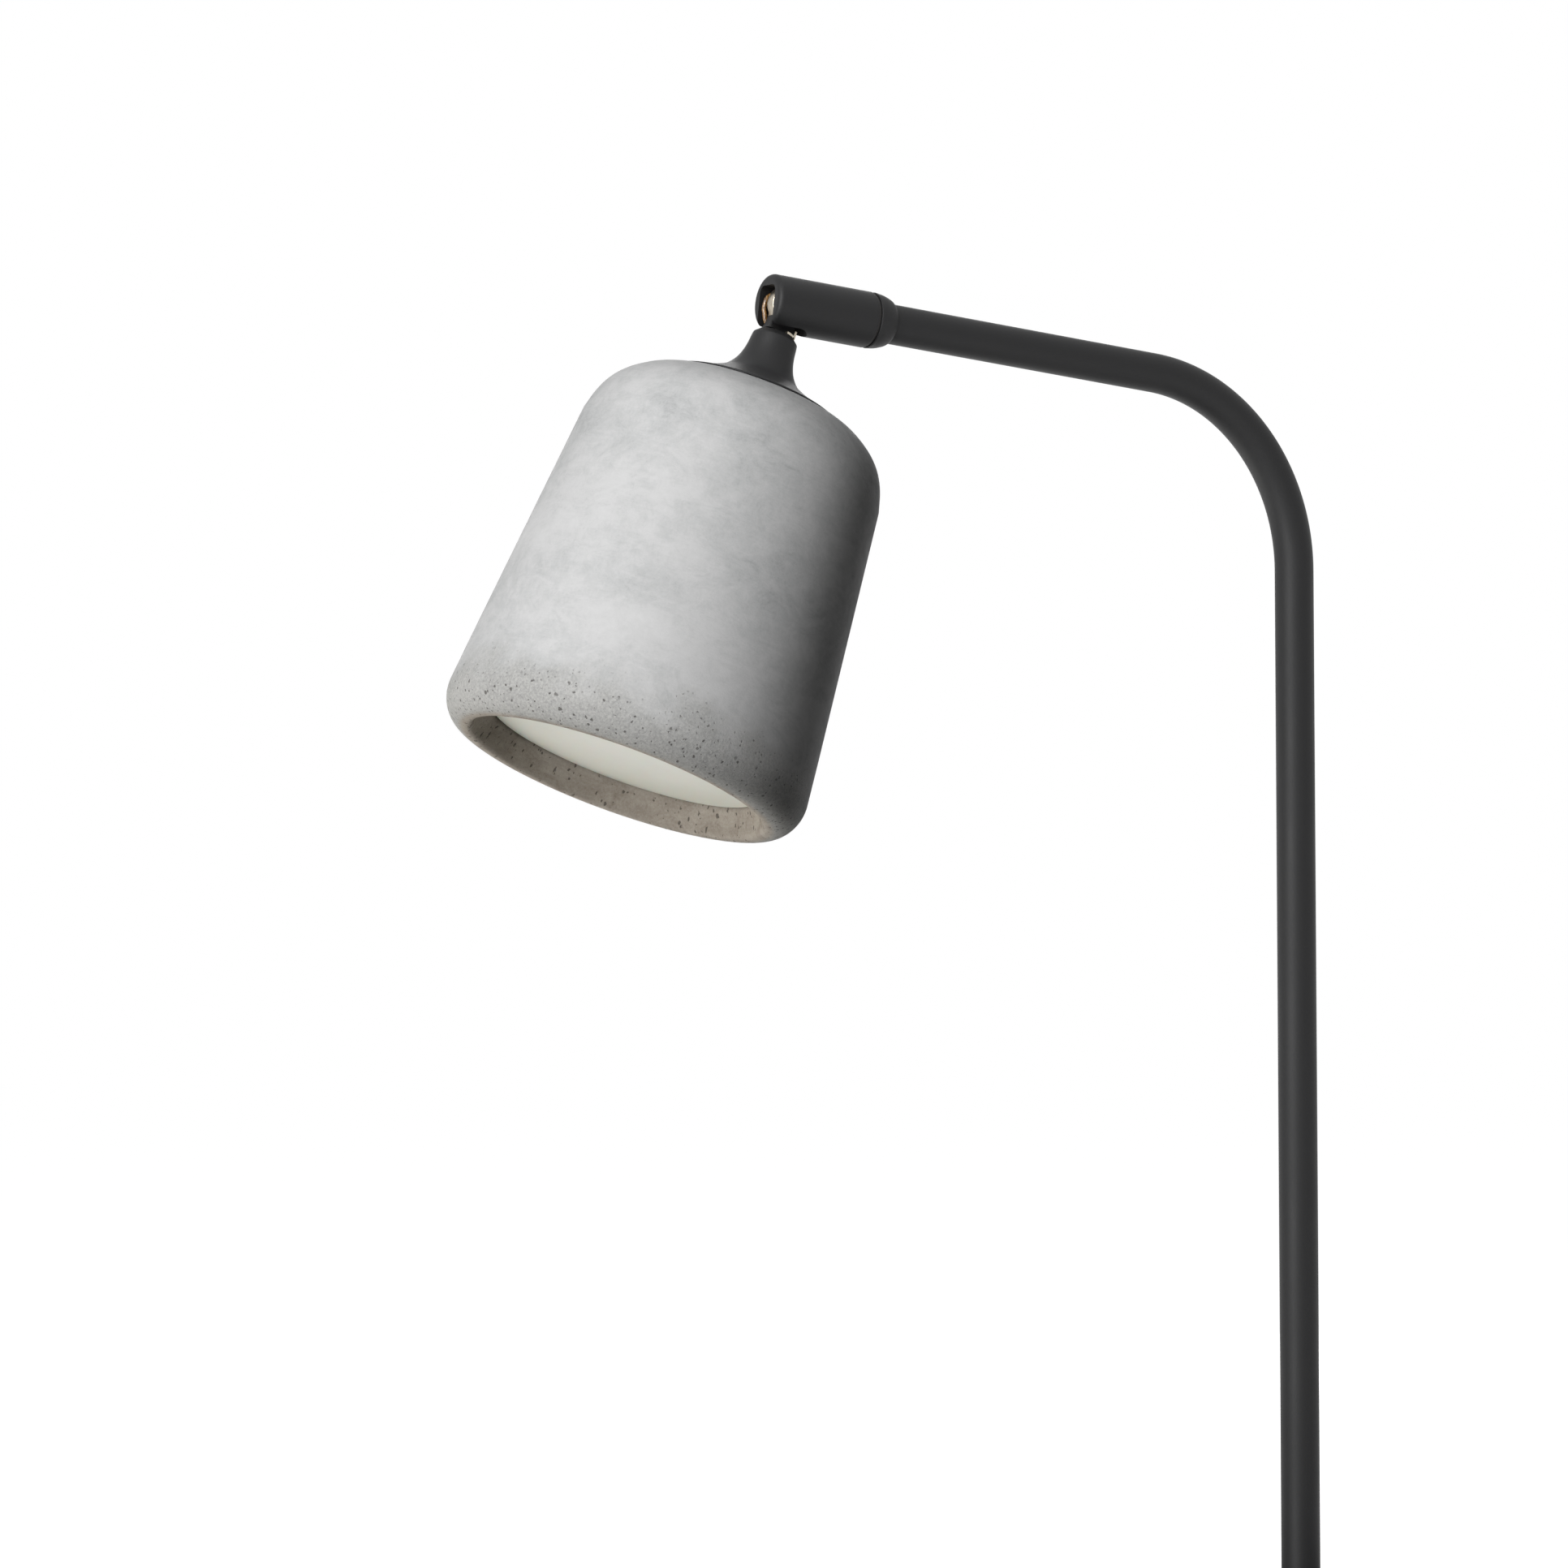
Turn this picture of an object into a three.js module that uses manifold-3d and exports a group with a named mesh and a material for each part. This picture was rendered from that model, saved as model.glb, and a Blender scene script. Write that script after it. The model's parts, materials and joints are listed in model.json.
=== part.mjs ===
// Table lamp: a steel base and bent steel arm, a slotted knuckle that swivels about the arm's
// own line, and a cast concrete shade that tilts about the knuckle's cross pin.
// Millimetres, +Z up. The origin is the centre of the base's underside. The arm reaches towards -X.
import * as THREE from 'three';
import { mergeVertices } from 'three/addons/utils/BufferGeometryUtils.js';
import Module from 'manifold-3d';

const wasm = await Module();
wasm.setup();

// ---------------------------------------------------------------- driving dimensions
const GAP = 0.3;                     // air left between pieces that touch

const BASE_R = 100;
const BASE_BOTTOM = 2;
const BASE_TOP = 18;
const BASE_POCKET_R = 12;
const BASE_POCKET_TOP = 12;
const PAD_R = 96;
const INLET_Z = 5.5;                 // height of the mains inlet in the base's rear edge
const CHANNEL_HALF = 3.7;            // half the width of the lead's channel under the base
const NUT_BOTTOM = 6.6;

const POST_X = 60;                   // the post stands behind the base's centre
const TUBE_R = 7;
const TUBE_BORE = 5.6;
const BEND_START_Z = 382;
const BEND_REACH = 66.7;
const BEND_RISE = 69.8;
const ARM_SLOPE = 7.05;              // degrees above level
const ARM_LENGTH = 117.2;            // end of the bend to the swivel seam

const KNUCKLE_R = 9.9;
const KNUCKLE_FILLET = 2;
const PIN_FROM_SEAM = 32.1;
const KNUCKLE_END = 40.4;
const KNUCKLE_BORE = 5.5;
const SLOT_HALF = 5.5;
const SLOT_ROOF = 5.8;
const SLOT_CORNER = 1.8;
const SLOT_START = 24;
const COLLAR_LENGTH = 8.3;

const NIPPLE_R = 4;
const NIPPLE_BORE = 2.8;

const TONGUE_HALF = 2.2;
const EYE_R = 6.9;
const PIN_R = 2;
const CORE_R = 0.85;                 // one insulated core of the lead
const CORE_SIDE = 4.1;               // the cores pass the tongue on its far side
const CORE_HOLE_X = 2.3;             // they enter the cap this far each side of the stud
const STUD_R = 3;
const STUD_HOLE_R = STUD_R + GAP;
const STUD_END = 56;
const HEAD_TILT = 22.3;              // degrees from plumb, towards the arm's free end

const CAP_TOP = 11;                  // distances along the head's axis are from the pin
const FLANGE_R = 31.3;
const FLANGE_BOTTOM = 36.3;
const SHADE_TOP = 37;
const SHADE_NECK = 60;               // where the shoulder runs out into the straight wall
const SHADE_NECK_R = 54.4;
const SHADE_WIDEST = 167;
const SHADE_WIDEST_R = 65.2;
const SHADE_LIP = 179.1;
const SHADE_LIP_R = 55.5;
const SHADE_HOLE_R = 9;
const SHADE_CEILING = 48;            // the inner face that the clamp plate bears on
const DIFFUSER_R = 48.9;
const DIFFUSER_FACE = 169.4;
const DIFFUSER_THICKNESS = 3;

const ROUND = 32;                    // segments round a large turned piece
const SMALL = 16;                    // segments round a small turned piece

// ---------------------------------------------------------------- finishes
const finish = (color, roughness, metalness) => () =>
  new THREE.MeshStandardMaterial({ color, roughness, metalness });
const blackCoat = finish(0x2b2b2d, 0.6, 0.3);
const nickel = finish(0xb7b0a2, 0.3, 1);
const zincSteel = finish(0x9b9c9c, 0.4, 1);
const springSteel = finish(0x777a7d, 0.35, 1);
const concrete = finish(0x9d9d9b, 0.9, 0);
const opal = finish(0xdcdbd2, 0.45, 0);
const aluminium = finish(0xb9babb, 0.4, 1);
const blackRubber = finish(0x1c1c1c, 0.85, 0);
const goldInsulation = finish(0xb88a4a, 0.25, 0);
const whiteCeramic = finish(0xece9e0, 0.35, 0);
const whitePlastic = finish(0xf0eeea, 0.4, 0);
const felt = finish(0x202020, 0.95, 0);
const fibre = finish(0x3a2f28, 0.8, 0);

// ---------------------------------------------------------------- shape helpers
const rad = THREE.MathUtils.degToRad;

function signedVolume(geometry) {
  const flat = geometry.index ? geometry.toNonIndexed() : geometry;
  const p = flat.attributes.position;
  const [a, b, c] = [new THREE.Vector3(), new THREE.Vector3(), new THREE.Vector3()];
  let sum = 0;
  for (let i = 0; i < p.count; i += 3) {
    a.fromBufferAttribute(p, i);
    b.fromBufferAttribute(p, i + 1);
    c.fromBufferAttribute(p, i + 2);
    sum += a.dot(b.cross(c));
  }
  return sum / 6;
}

// Merged, position-only copy of a closed geometry with its faces pointing out.
function welded(geometry) {
  const copy = geometry.clone();
  copy.deleteAttribute('normal');
  copy.deleteAttribute('uv');
  const merged = mergeVertices(copy, 1e-4);
  const source = merged.index.array;
  const kept = [];
  for (let i = 0; i < source.length; i += 3) {
    const [a, b, c] = [source[i], source[i + 1], source[i + 2]];
    if (a !== b && b !== c && c !== a) kept.push(a, b, c);
  }
  merged.setIndex(kept);
  if (signedVolume(merged) < 0) {
    for (let i = 0; i < kept.length; i += 3) {
      [kept[i + 1], kept[i + 2]] = [kept[i + 2], kept[i + 1]];
    }
    merged.setIndex(kept);
  }
  return merged;
}

function toSolid(geometry) {
  const closed = welded(geometry);
  return new wasm.Manifold(new wasm.Mesh({
    numProp: 3,
    vertProperties: new Float32Array(closed.attributes.position.array),
    triVerts: new Uint32Array(closed.index.array),
  }));
}

function toGeometry(solid) {
  const mesh = solid.getMesh();
  const geometry = new THREE.BufferGeometry();
  const positions = new Float32Array(mesh.vertProperties);
  geometry.setAttribute('position', new THREE.BufferAttribute(positions, 3));
  geometry.setIndex(Array.from(mesh.triVerts));
  return geometry;
}

function cut(geometry, ...tools) {
  let solid = toSolid(geometry);
  for (const tool of tools) solid = solid.subtract(toSolid(tool));
  return toGeometry(solid);
}

function join(geometry, ...more) {
  let solid = toSolid(geometry);
  for (const piece of more) solid = solid.add(toSolid(piece));
  return toGeometry(solid);
}

// A turned piece about Z. The outline is [radius, z] points, and closes on the axis or on itself.
function turned(outline, segments = ROUND) {
  const points = outline.map(([r, z]) => new THREE.Vector2(r, z));
  return welded(new THREE.LatheGeometry(points, segments).rotateX(Math.PI / 2));
}

function disc(r, bottom, top, segments = SMALL) {
  return turned([[0, bottom], [r, bottom], [r, top], [0, top]], segments);
}

function ring(inner, outer, bottom, top, segments = SMALL) {
  return turned([[inner, bottom], [outer, bottom], [outer, top], [inner, top],
    [inner, bottom]], segments);
}

// A round bar across the piece, along Y.
function crossBar(r, from, to, x = 0, z = 0, segments = SMALL) {
  return disc(r, from, to, segments).rotateX(-Math.PI / 2).translate(x, 0, z);
}

function block(x0, x1, y0, y1, z0, z1) {
  return new THREE.BoxGeometry(x1 - x0, y1 - y0, z1 - z0)
    .translate((x0 + x1) / 2, (y0 + y1) / 2, (z0 + z1) / 2);
}

function polygon(sides, r, turn = 0) {
  const points = [];
  for (let i = 0; i < sides; i += 1) {
    const a = turn + (i / sides) * 2 * Math.PI;
    points.push(new THREE.Vector2(r * Math.cos(a), r * Math.sin(a)));
  }
  return points;
}

// An upright prism of an outline in X and Y, with an optional hole.
function prism(outline, bottom, top, hole = null) {
  const shape = new THREE.Shape(outline);
  if (hole) shape.holes.push(new THREE.Path(hole));
  return new THREE.ExtrudeGeometry(shape, { depth: top - bottom, bevelEnabled: false })
    .translate(0, 0, bottom);
}

function hexNut(acrossFlats, hole, bottom, top) {
  const outline = polygon(6, acrossFlats / Math.sqrt(3));
  return prism(outline, bottom, top, polygon(SMALL, hole));
}

// A bar or pipe of round section along a curve.
function along(curve, steps, r, sides, bore = 0) {
  const shape = new THREE.Shape(polygon(sides, r));
  if (bore) shape.holes.push(new THREE.Path(polygon(12, bore)));
  return new THREE.ExtrudeGeometry(shape, { steps, extrudePath: curve });
}

// A smooth lead through points chosen along its run, with the same steps between each pair, so
// that its tight turns are as smooth as its long straights.
class LeadLine extends THREE.CatmullRomCurve3 {
  getPointAt(u) {
    return this.getPoint(u);
  }

  getTangentAt(u) {
    return this.getTangent(u, new THREE.Vector3());
  }
}

function lead(points, stepsEach, r, sides = 8) {
  const curve = new LeadLine(points.map((p) => new THREE.Vector3(...p)));
  return along(curve, stepsEach * (points.length - 1), r, sides);
}

function quarterArc(centreR, centreZ, radiusR, radiusZ, fromDeg, toDeg, steps) {
  const points = [];
  for (let i = 0; i <= steps; i += 1) {
    const a = rad(fromDeg + ((toDeg - fromDeg) * i) / steps);
    points.push([centreR + radiusR * Math.cos(a), centreZ + radiusZ * Math.sin(a)]);
  }
  return points;
}

// The centre line of the post, bend and arm: one step for each straight, the rest in the bend.
class ArmLine extends THREE.Curve {
  constructor(startZ, bendSteps, armEnd) {
    super();
    this.startZ = startZ;
    this.bendSteps = bendSteps;
    this.armEnd = armEnd;
    this.lastAngle = Math.atan2(BEND_RISE, BEND_REACH * Math.tan(rad(ARM_SLOPE)));
    this.steps = bendSteps + 2;
  }

  bendPoint(angle) {
    const x = POST_X - BEND_REACH * (1 - Math.cos(angle));
    return new THREE.Vector3(x, 0, BEND_START_Z + BEND_RISE * Math.sin(angle));
  }

  getPoint(t) {
    const station = t * this.steps;
    if (station <= 1) {
      const z = THREE.MathUtils.lerp(this.startZ, BEND_START_Z, station);
      return new THREE.Vector3(POST_X, 0, z);
    }
    if (station <= 1 + this.bendSteps) {
      return this.bendPoint(((station - 1) / this.bendSteps) * this.lastAngle);
    }
    const run = (station - 1 - this.bendSteps) * this.armEnd;
    return this.bendPoint(this.lastAngle).addScaledVector(armDirection, run);
  }

  getTangent(t) {
    const station = t * this.steps;
    if (station <= 1) return new THREE.Vector3(0, 0, 1);
    if (station >= 1 + this.bendSteps) return armDirection.clone();
    const angle = ((station - 1) / this.bendSteps) * this.lastAngle;
    return new THREE.Vector3(-BEND_REACH * Math.sin(angle), 0, BEND_RISE * Math.cos(angle))
      .normalize();
  }

  getPointAt(u) {
    return this.getPoint(u);
  }

  getTangentAt(u) {
    return this.getTangent(u);
  }
}

const armDirection = new THREE.Vector3(-Math.cos(rad(ARM_SLOPE)), 0, Math.sin(rad(ARM_SLOPE)));
const armLine = new ArmLine(BASE_TOP + GAP, 14, ARM_LENGTH - 3);
const seam = armLine.bendPoint(armLine.lastAngle).addScaledVector(armDirection, ARM_LENGTH);
const pin = seam.clone().addScaledVector(armDirection, PIN_FROM_SEAM);

// ---------------------------------------------------------------- frames of the three bodies
const lamp = new THREE.Group();
const stand = new THREE.Group();
// In the swivel's frame +Z runs out along the arm from the seam and +X points up.
const swivel = new THREE.Group();
swivel.position.copy(seam);
swivel.rotation.y = -(Math.PI / 2 - rad(ARM_SLOPE));
// In the head's frame +Z runs from the pin to the shade's mouth and +X towards the free end.
const head = new THREE.Group();
head.position.copy(pin);
head.rotation.y = Math.PI + rad(HEAD_TILT);
lamp.add(stand, swivel, head);

function add(group, name, geometry, material) {
  const mesh = new THREE.Mesh(geometry, material());
  mesh.name = name;
  group.add(mesh);
}

// ---------------------------------------------------------------- base and post
function makeBase() {
  const plate = turned([
    [0, BASE_BOTTOM], [BASE_R - 0.8, BASE_BOTTOM], [BASE_R, BASE_BOTTOM + 0.8],
    ...quarterArc(BASE_R - 2, BASE_TOP - 2, 2, 2, 0, 90, 4), [0, BASE_TOP],
  ], 48);
  const postHole = disc(NIPPLE_R + GAP, 0, BASE_TOP + 1).translate(POST_X, 0, 0);
  const pocket = disc(BASE_POCKET_R, 0, BASE_POCKET_TOP).translate(POST_X, 0, 0);
  const channel = block(POST_X, BASE_R + 5, -CHANNEL_HALF, CHANNEL_HALF, 0, INLET_Z + CHANNEL_HALF);
  add(stand, 'base_plate', cut(plate, postHole, pocket, channel), blackCoat);
  add(stand, 'base_pad', disc(PAD_R, 0, BASE_BOTTOM - GAP, 48), felt);

  const under = BASE_POCKET_TOP - GAP;
  const shift = (geometry) => geometry.translate(POST_X, 0, 0);
  add(stand, 'post_washer', shift(ring(NIPPLE_R + GAP, 9.5, under - 1.3, under)), zincSteel);
  add(stand, 'post_nut', shift(hexNut(14, NIPPLE_R + GAP, NUT_BOTTOM, under - 1.6)), zincSteel);
  add(stand, 'post_nipple', shift(ring(NIPPLE_BORE, NIPPLE_R, NUT_BOTTOM, 40)), zincSteel);
  add(stand, 'post_insert', shift(ring(NIPPLE_R + GAP, TUBE_BORE - GAP, 19, 36)), zincSteel);
  add(stand, 'post_foot_collar', shift(turned([
    [TUBE_R + GAP, BASE_TOP + GAP], [11, BASE_TOP + GAP], [11, 21.2], [10.2, 22],
    [TUBE_R + GAP, 22], [TUBE_R + GAP, BASE_TOP + GAP],
  ], 24)), blackCoat);

  const bush = turned([
    [2.5, BASE_R - 8], [3.4, BASE_R - 8], [3.4, BASE_R + GAP], [5.1, BASE_R + GAP],
    [4.6, BASE_R + 3], [2.5, BASE_R + 3], [2.5, BASE_R - 8],
  ], SMALL);
  add(stand, 'inlet_bush', bush.rotateY(Math.PI / 2).translate(0, 0, INLET_Z), blackRubber);
  const grip = cut(block(84, 88, -3.3, 3.3, 2 + GAP, 8.9),
    disc(2.5, 80, 90).rotateY(Math.PI / 2).translate(0, 0, INLET_Z));
  add(stand, 'cord_grip', grip, blackRubber);
}

// ---------------------------------------------------------------- arm
function makeArm() {
  add(stand, 'arm_tube', along(armLine, armLine.steps, TUBE_R, 20, TUBE_BORE), blackCoat);
}

// The pieces fixed to the arm's end, in the swivel's frame.
function makeSwivel() {
  const onArm = new THREE.Group();
  onArm.position.copy(swivel.position);
  onArm.rotation.copy(swivel.rotation);
  stand.add(onArm);

  const bore = TUBE_R + GAP;
  const back = -COLLAR_LENGTH;
  add(onArm, 'arm_collar', turned([
    [bore, back], [bore + 0.3, back], [bore + 0.6, back + 0.4], [8.3, back + 1.1],
    [9.0, back + 2.9], [9.6, back + 5], [KNUCKLE_R, back + 7.2],
    [KNUCKLE_R - 0.4, -0.6], [NIPPLE_R + GAP, -0.6], [NIPPLE_R + GAP, -2.6],
    [bore, -2.6], [bore, back],
  ], 28), blackCoat);
  add(onArm, 'seam_ring', ring(8.4, 9.3, -0.3, 0.15, 24), fibre);
  add(onArm, 'swivel_nipple', ring(NIPPLE_BORE, NIPPLE_R, -14, 12.6), zincSteel);
  add(onArm, 'swivel_insert', ring(NIPPLE_R + GAP, TUBE_BORE - GAP, -14, -3.4), zincSteel);
  add(onArm, 'spring_washer', ring(NIPPLE_R + GAP, 5.1, 7.3, 8.2), springSteel);
  add(onArm, 'swivel_nut', ring(NIPPLE_R + GAP, 5.1, 8.5, 12.6), zincSteel);
  add(onArm, 'stop_pin', disc(0.8, -0.3, 2, 12).translate(-7, 0, 0), springSteel);
  add(onArm, 'lead_sleeve', ring(2.15, 2.5, -12, 15.5, 16), fibre);
}

// ---------------------------------------------------------------- knuckle
function makeKnuckle() {
  const bottom = 0.45;
  const body = turned([
    [0, bottom], [KNUCKLE_R - 0.4, bottom], [KNUCKLE_R, bottom + 0.4],
    ...quarterArc(KNUCKLE_R - KNUCKLE_FILLET, KNUCKLE_END - KNUCKLE_FILLET,
      KNUCKLE_FILLET, KNUCKLE_FILLET, 0, 90, 4),
    [0, KNUCKLE_END],
  ], 36);
  const nippleHole = disc(NIPPLE_R + GAP, -1, 9);
  const bore = disc(KNUCKLE_BORE, 7, SLOT_START + 8, 28);

  // The slot: open at the end face and underneath, with a round back and rounded roof corners.
  const slotShape = new THREE.Shape();
  slotShape.moveTo(-KNUCKLE_R - 2, -SLOT_HALF);
  slotShape.lineTo(SLOT_ROOF - SLOT_CORNER, -SLOT_HALF);
  slotShape.absarc(SLOT_ROOF - SLOT_CORNER, -SLOT_HALF + SLOT_CORNER, SLOT_CORNER,
    -Math.PI / 2, 0, false);
  slotShape.absarc(SLOT_ROOF - SLOT_CORNER, SLOT_HALF - SLOT_CORNER, SLOT_CORNER,
    0, Math.PI / 2, false);
  slotShape.lineTo(-KNUCKLE_R - 2, SLOT_HALF);
  slotShape.closePath();
  const backCentre = SLOT_START + SLOT_HALF;
  const slot = new THREE.ExtrudeGeometry(slotShape, {
    depth: KNUCKLE_END + 2 - backCentre, bevelEnabled: false, curveSegments: 3,
  }).translate(0, 0, backCentre);
  const slotBack = disc(SLOT_HALF, -KNUCKLE_R - 2, SLOT_ROOF - SLOT_CORNER, 24)
    .rotateY(Math.PI / 2).translate(0, 0, backCentre);
  const eyeGroove = crossBar(EYE_R + 0.6, -TONGUE_HALF - 0.5, TONGUE_HALF + 0.5,
    0, PIN_FROM_SEAM, 24);

  // The screw enters from the far side and ends blind in the near ear.
  const screwHole = crossBar(PIN_R + 0.3, -8.4, KNUCKLE_R + 1, 0, PIN_FROM_SEAM);
  const screwSeat = crossBar(4.2, 7.4, KNUCKLE_R + 1, 0, PIN_FROM_SEAM);

  // The stop groove runs round the back face, except for the lug the stop pin meets.
  const lug = block(5.7, 8.2, -1.45, 1.45, -1, 3.5);
  const stopGroove = cut(ring(5.9, 8.1, -1, 2.6, 24), lug);
  const knuckle = cut(body, nippleHole, bore, slot, slotBack, eyeGroove, screwHole,
    screwSeat, stopGroove);
  add(swivel, 'knuckle_body', knuckle, blackCoat);

  const headTop = 9.1;
  const screw = cut(
    join(crossBar(PIN_R, -8.1, 8, 0, PIN_FROM_SEAM), crossBar(3.9, 7.7, headTop, 0, PIN_FROM_SEAM)),
    prism(polygon(6, 1.5), 8.1, headTop + 1).rotateX(-Math.PI / 2).translate(0, 0, PIN_FROM_SEAM),
  );
  add(swivel, 'hinge_screw', screw, nickel);
  for (const [name, side] of [['near', -1], ['far', 1]]) {
    const spacer = ring(PIN_R + GAP, 2.8, TONGUE_HALF + GAP, SLOT_HALF - GAP, 20)
      .rotateX((-side * Math.PI) / 2).translate(0, 0, PIN_FROM_SEAM);
    add(swivel, `hinge_spacer_${name}`, spacer, nickel);
  }
}

// ---------------------------------------------------------------- head hardware
function makeTongue() {
  const root = 10.7;
  const half = 4.7;
  const outline = new THREE.Shape();
  const shoulder = Math.asin(half / EYE_R);
  outline.moveTo(-half, root);
  outline.lineTo(half, root);
  outline.absarc(0, 0, EYE_R, Math.PI / 2 - shoulder, Math.PI / 2 + shoulder, true);
  outline.closePath();
  const plate = new THREE.ExtrudeGeometry(outline, {
    depth: 2 * TONGUE_HALF, bevelEnabled: false, curveSegments: 18,
  }).translate(0, 0, -TONGUE_HALF).rotateX(Math.PI / 2);
  const stud = disc(STUD_R, root - 1, STUD_END);
  const eye = crossBar(PIN_R + GAP, -5, 5);
  add(head, 'tongue', cut(join(plate, stud), eye), nickel);
}

function makeCap() {
  const cap = turned([
    [STUD_HOLE_R, CAP_TOP], [5.9, CAP_TOP], [8.0, 12.9], [8.25, 14.4], [8.65, 17.9], [9.5, 21.4],
    [10.9, 24.5], [13.6, 27.8], [17.2, 30], [22, 32.3], [26.5, 34.2], [30.2, 35.3],
    [FLANGE_R, 35.8], [FLANGE_R, FLANGE_BOTTOM], [29.6, FLANGE_BOTTOM], [29.2, 35.9], [23, 35.9],
    [18, 32.8], [12, 29.4], [8.2, 25.6], [6.6, 21.5], [6.2, 16.5], [STUD_HOLE_R, 16.5],
    [STUD_HOLE_R, CAP_TOP],
  ], 32);
  const leadHoles = [CORE_HOLE_X, -CORE_HOLE_X].map(
    (x) => disc(1.15, 10, 18, 12).translate(x, CORE_SIDE - 0.3, 0));
  add(head, 'stem_cap', cut(cap, ...leadHoles), blackCoat);
  add(head, 'cap_gasket', ring(24, 28.9, 36.2, SHADE_TOP - GAP, ROUND), blackRubber);
}

// ---------------------------------------------------------------- shade
function makeShade() {
  const lipCentre = SHADE_WIDEST;
  const outer = [
    [SHADE_HOLE_R, SHADE_TOP], [31.2, SHADE_TOP], [35.2, 37.4], [39.2, 38.9], [43.6, 41.6],
    [47.3, 44.7], [50.2, 48.4], [52.4, 53], [SHADE_NECK_R, SHADE_NECK],
    [SHADE_WIDEST_R, SHADE_WIDEST],
    ...quarterArc(SHADE_LIP_R, lipCentre, SHADE_WIDEST_R - SHADE_LIP_R, SHADE_LIP - lipCentre,
      12, 90, 6),
  ];
  const inner = [
    [54.2, SHADE_LIP - 0.2], [53.2, SHADE_LIP - 1], [52.2, 175.3], [50.6, 171.7], [49.6, 170.2],
    [49.6, 160], [48.4, 150], [44.6, 64], [41.5, 55.5], [36, 50.2], [28, SHADE_CEILING],
    [SHADE_HOLE_R, SHADE_CEILING], [SHADE_HOLE_R, SHADE_TOP],
  ];
  add(head, 'shade', turned([...outer, ...inner], 44), concrete);

  const back = DIFFUSER_FACE - DIFFUSER_THICKNESS;
  add(head, 'diffuser', turned([
    [0, back], [DIFFUSER_R, back], [DIFFUSER_R, DIFFUSER_FACE - 0.4],
    [DIFFUSER_R - 0.4, DIFFUSER_FACE], [0, DIFFUSER_FACE],
  ], 44), opal);
  add(head, 'carrier_ring', ring(43, 48.6, back - 2.3, back - GAP, ROUND), aluminium);
  const clips = 3;
  for (let i = 0; i < clips; i += 1) {
    const foot = block(44, 48, -4, 4, back - 3.4, back - 2.6);
    const spring = block(47.2, 48, -4, 4, back - 14, back - 2.6);
    const clip = join(foot, spring).rotateZ((i / clips) * 2 * Math.PI + rad(30));
    add(head, `clip_${i + 1}`, welded(clip), springSteel);
  }
}

function makeLampParts() {
  const plateTop = SHADE_CEILING + GAP;
  const leadHole = disc(2.6, 40, 60, 16).translate(0, 6.6, 0);
  const plate = cut(ring(STUD_HOLE_R, 24, plateTop, plateTop + 2, 24), leadHole);
  add(head, 'clamp_plate', plate, zincSteel);
  add(head, 'clamp_nut', hexNut(10, STUD_HOLE_R, plateTop + 4.1, STUD_END - 0.4), zincSteel);

  // The bracket hangs from the stud: a top strap, two legs and two feet that hold the socket.
  const strapTop = plateTop + 2 + GAP;
  const legs = [-1, 1].map((side) => join(
    block(side > 0 ? 17 : -18.5, side > 0 ? 18.5 : -17, -5, 5, strapTop, 78),
    block(side > 0 ? 15.6 : -18.5, side > 0 ? 18.5 : -15.6, -5, 5, 76.5, 78),
  ));
  const strap = cut(block(-18.5, 18.5, -5, 5, strapTop, strapTop + 1.5),
    disc(STUD_HOLE_R, 40, 60, 16));
  add(head, 'holder_bracket', join(strap, ...legs), zincSteel);
  add(head, 'lamp_holder', cut(
    disc(15, 62, 84, 24),
    disc(2.8, 76, 90, 16).translate(0, 5, 0),
    disc(2.8, 76, 90, 16).translate(0, -5, 0),
  ), whiteCeramic);
  const lampBody = turned([
    [0, 84.3], [11, 84.3], [12.2, 88], [13, 96], [22, 118], [24.8, 126], [24.8, 134],
    [23, 134], [23, 132.6], [0, 132.6],
  ], 24);
  const prong = (y) => disc(2.3, 77, 86, 14).translate(0, y, 0);
  add(head, 'lamp_body', join(lampBody, prong(5), prong(-5)), whitePlastic);
  add(head, 'lamp_lens', disc(22.6, 132.9, 134.2, 24), opal);
}

// ---------------------------------------------------------------- leads
const CORE_SPREAD = 1.05;            // each core runs this far from the tube's centre line

function makeStandLeads() {
  add(stand, 'inlet_lead', lead([
    [BASE_R + 2, 0, INLET_Z], [95, 0, INLET_Z], [88, 0, INLET_Z], [82, 0, INLET_Z],
  ], 1, 2.2), goldInsulation);
  const armEnd = armLine.bendPoint(armLine.lastAngle);
  for (const [name, side] of [['a', 1], ['b', -1]]) {
    const y = side * CORE_SPREAD;
    const points = [[81.6, y, INLET_Z], [76, y, 4.8], [68, y, 3.6], [63.4, y, 3.5],
      [61, y, 4.4], [POST_X, y, 6.6], [POST_X, y, 12]];
    for (const z of [60, 140, 220, 300, 360]) points.push([POST_X, y, z]);
    for (let i = 0; i <= 8; i += 1) {
      const p = armLine.bendPoint((i / 8) * armLine.lastAngle);
      points.push([p.x, y, p.z]);
    }
    for (const run of [30, 70, ARM_LENGTH - 10, ARM_LENGTH + 15.2]) {
      const p = armEnd.clone().addScaledVector(armDirection, run);
      points.push([p.x, y, p.z]);
    }
    add(stand, `arm_core_${name}`, lead(points, 2, CORE_R), goldInsulation);
  }
}

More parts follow.
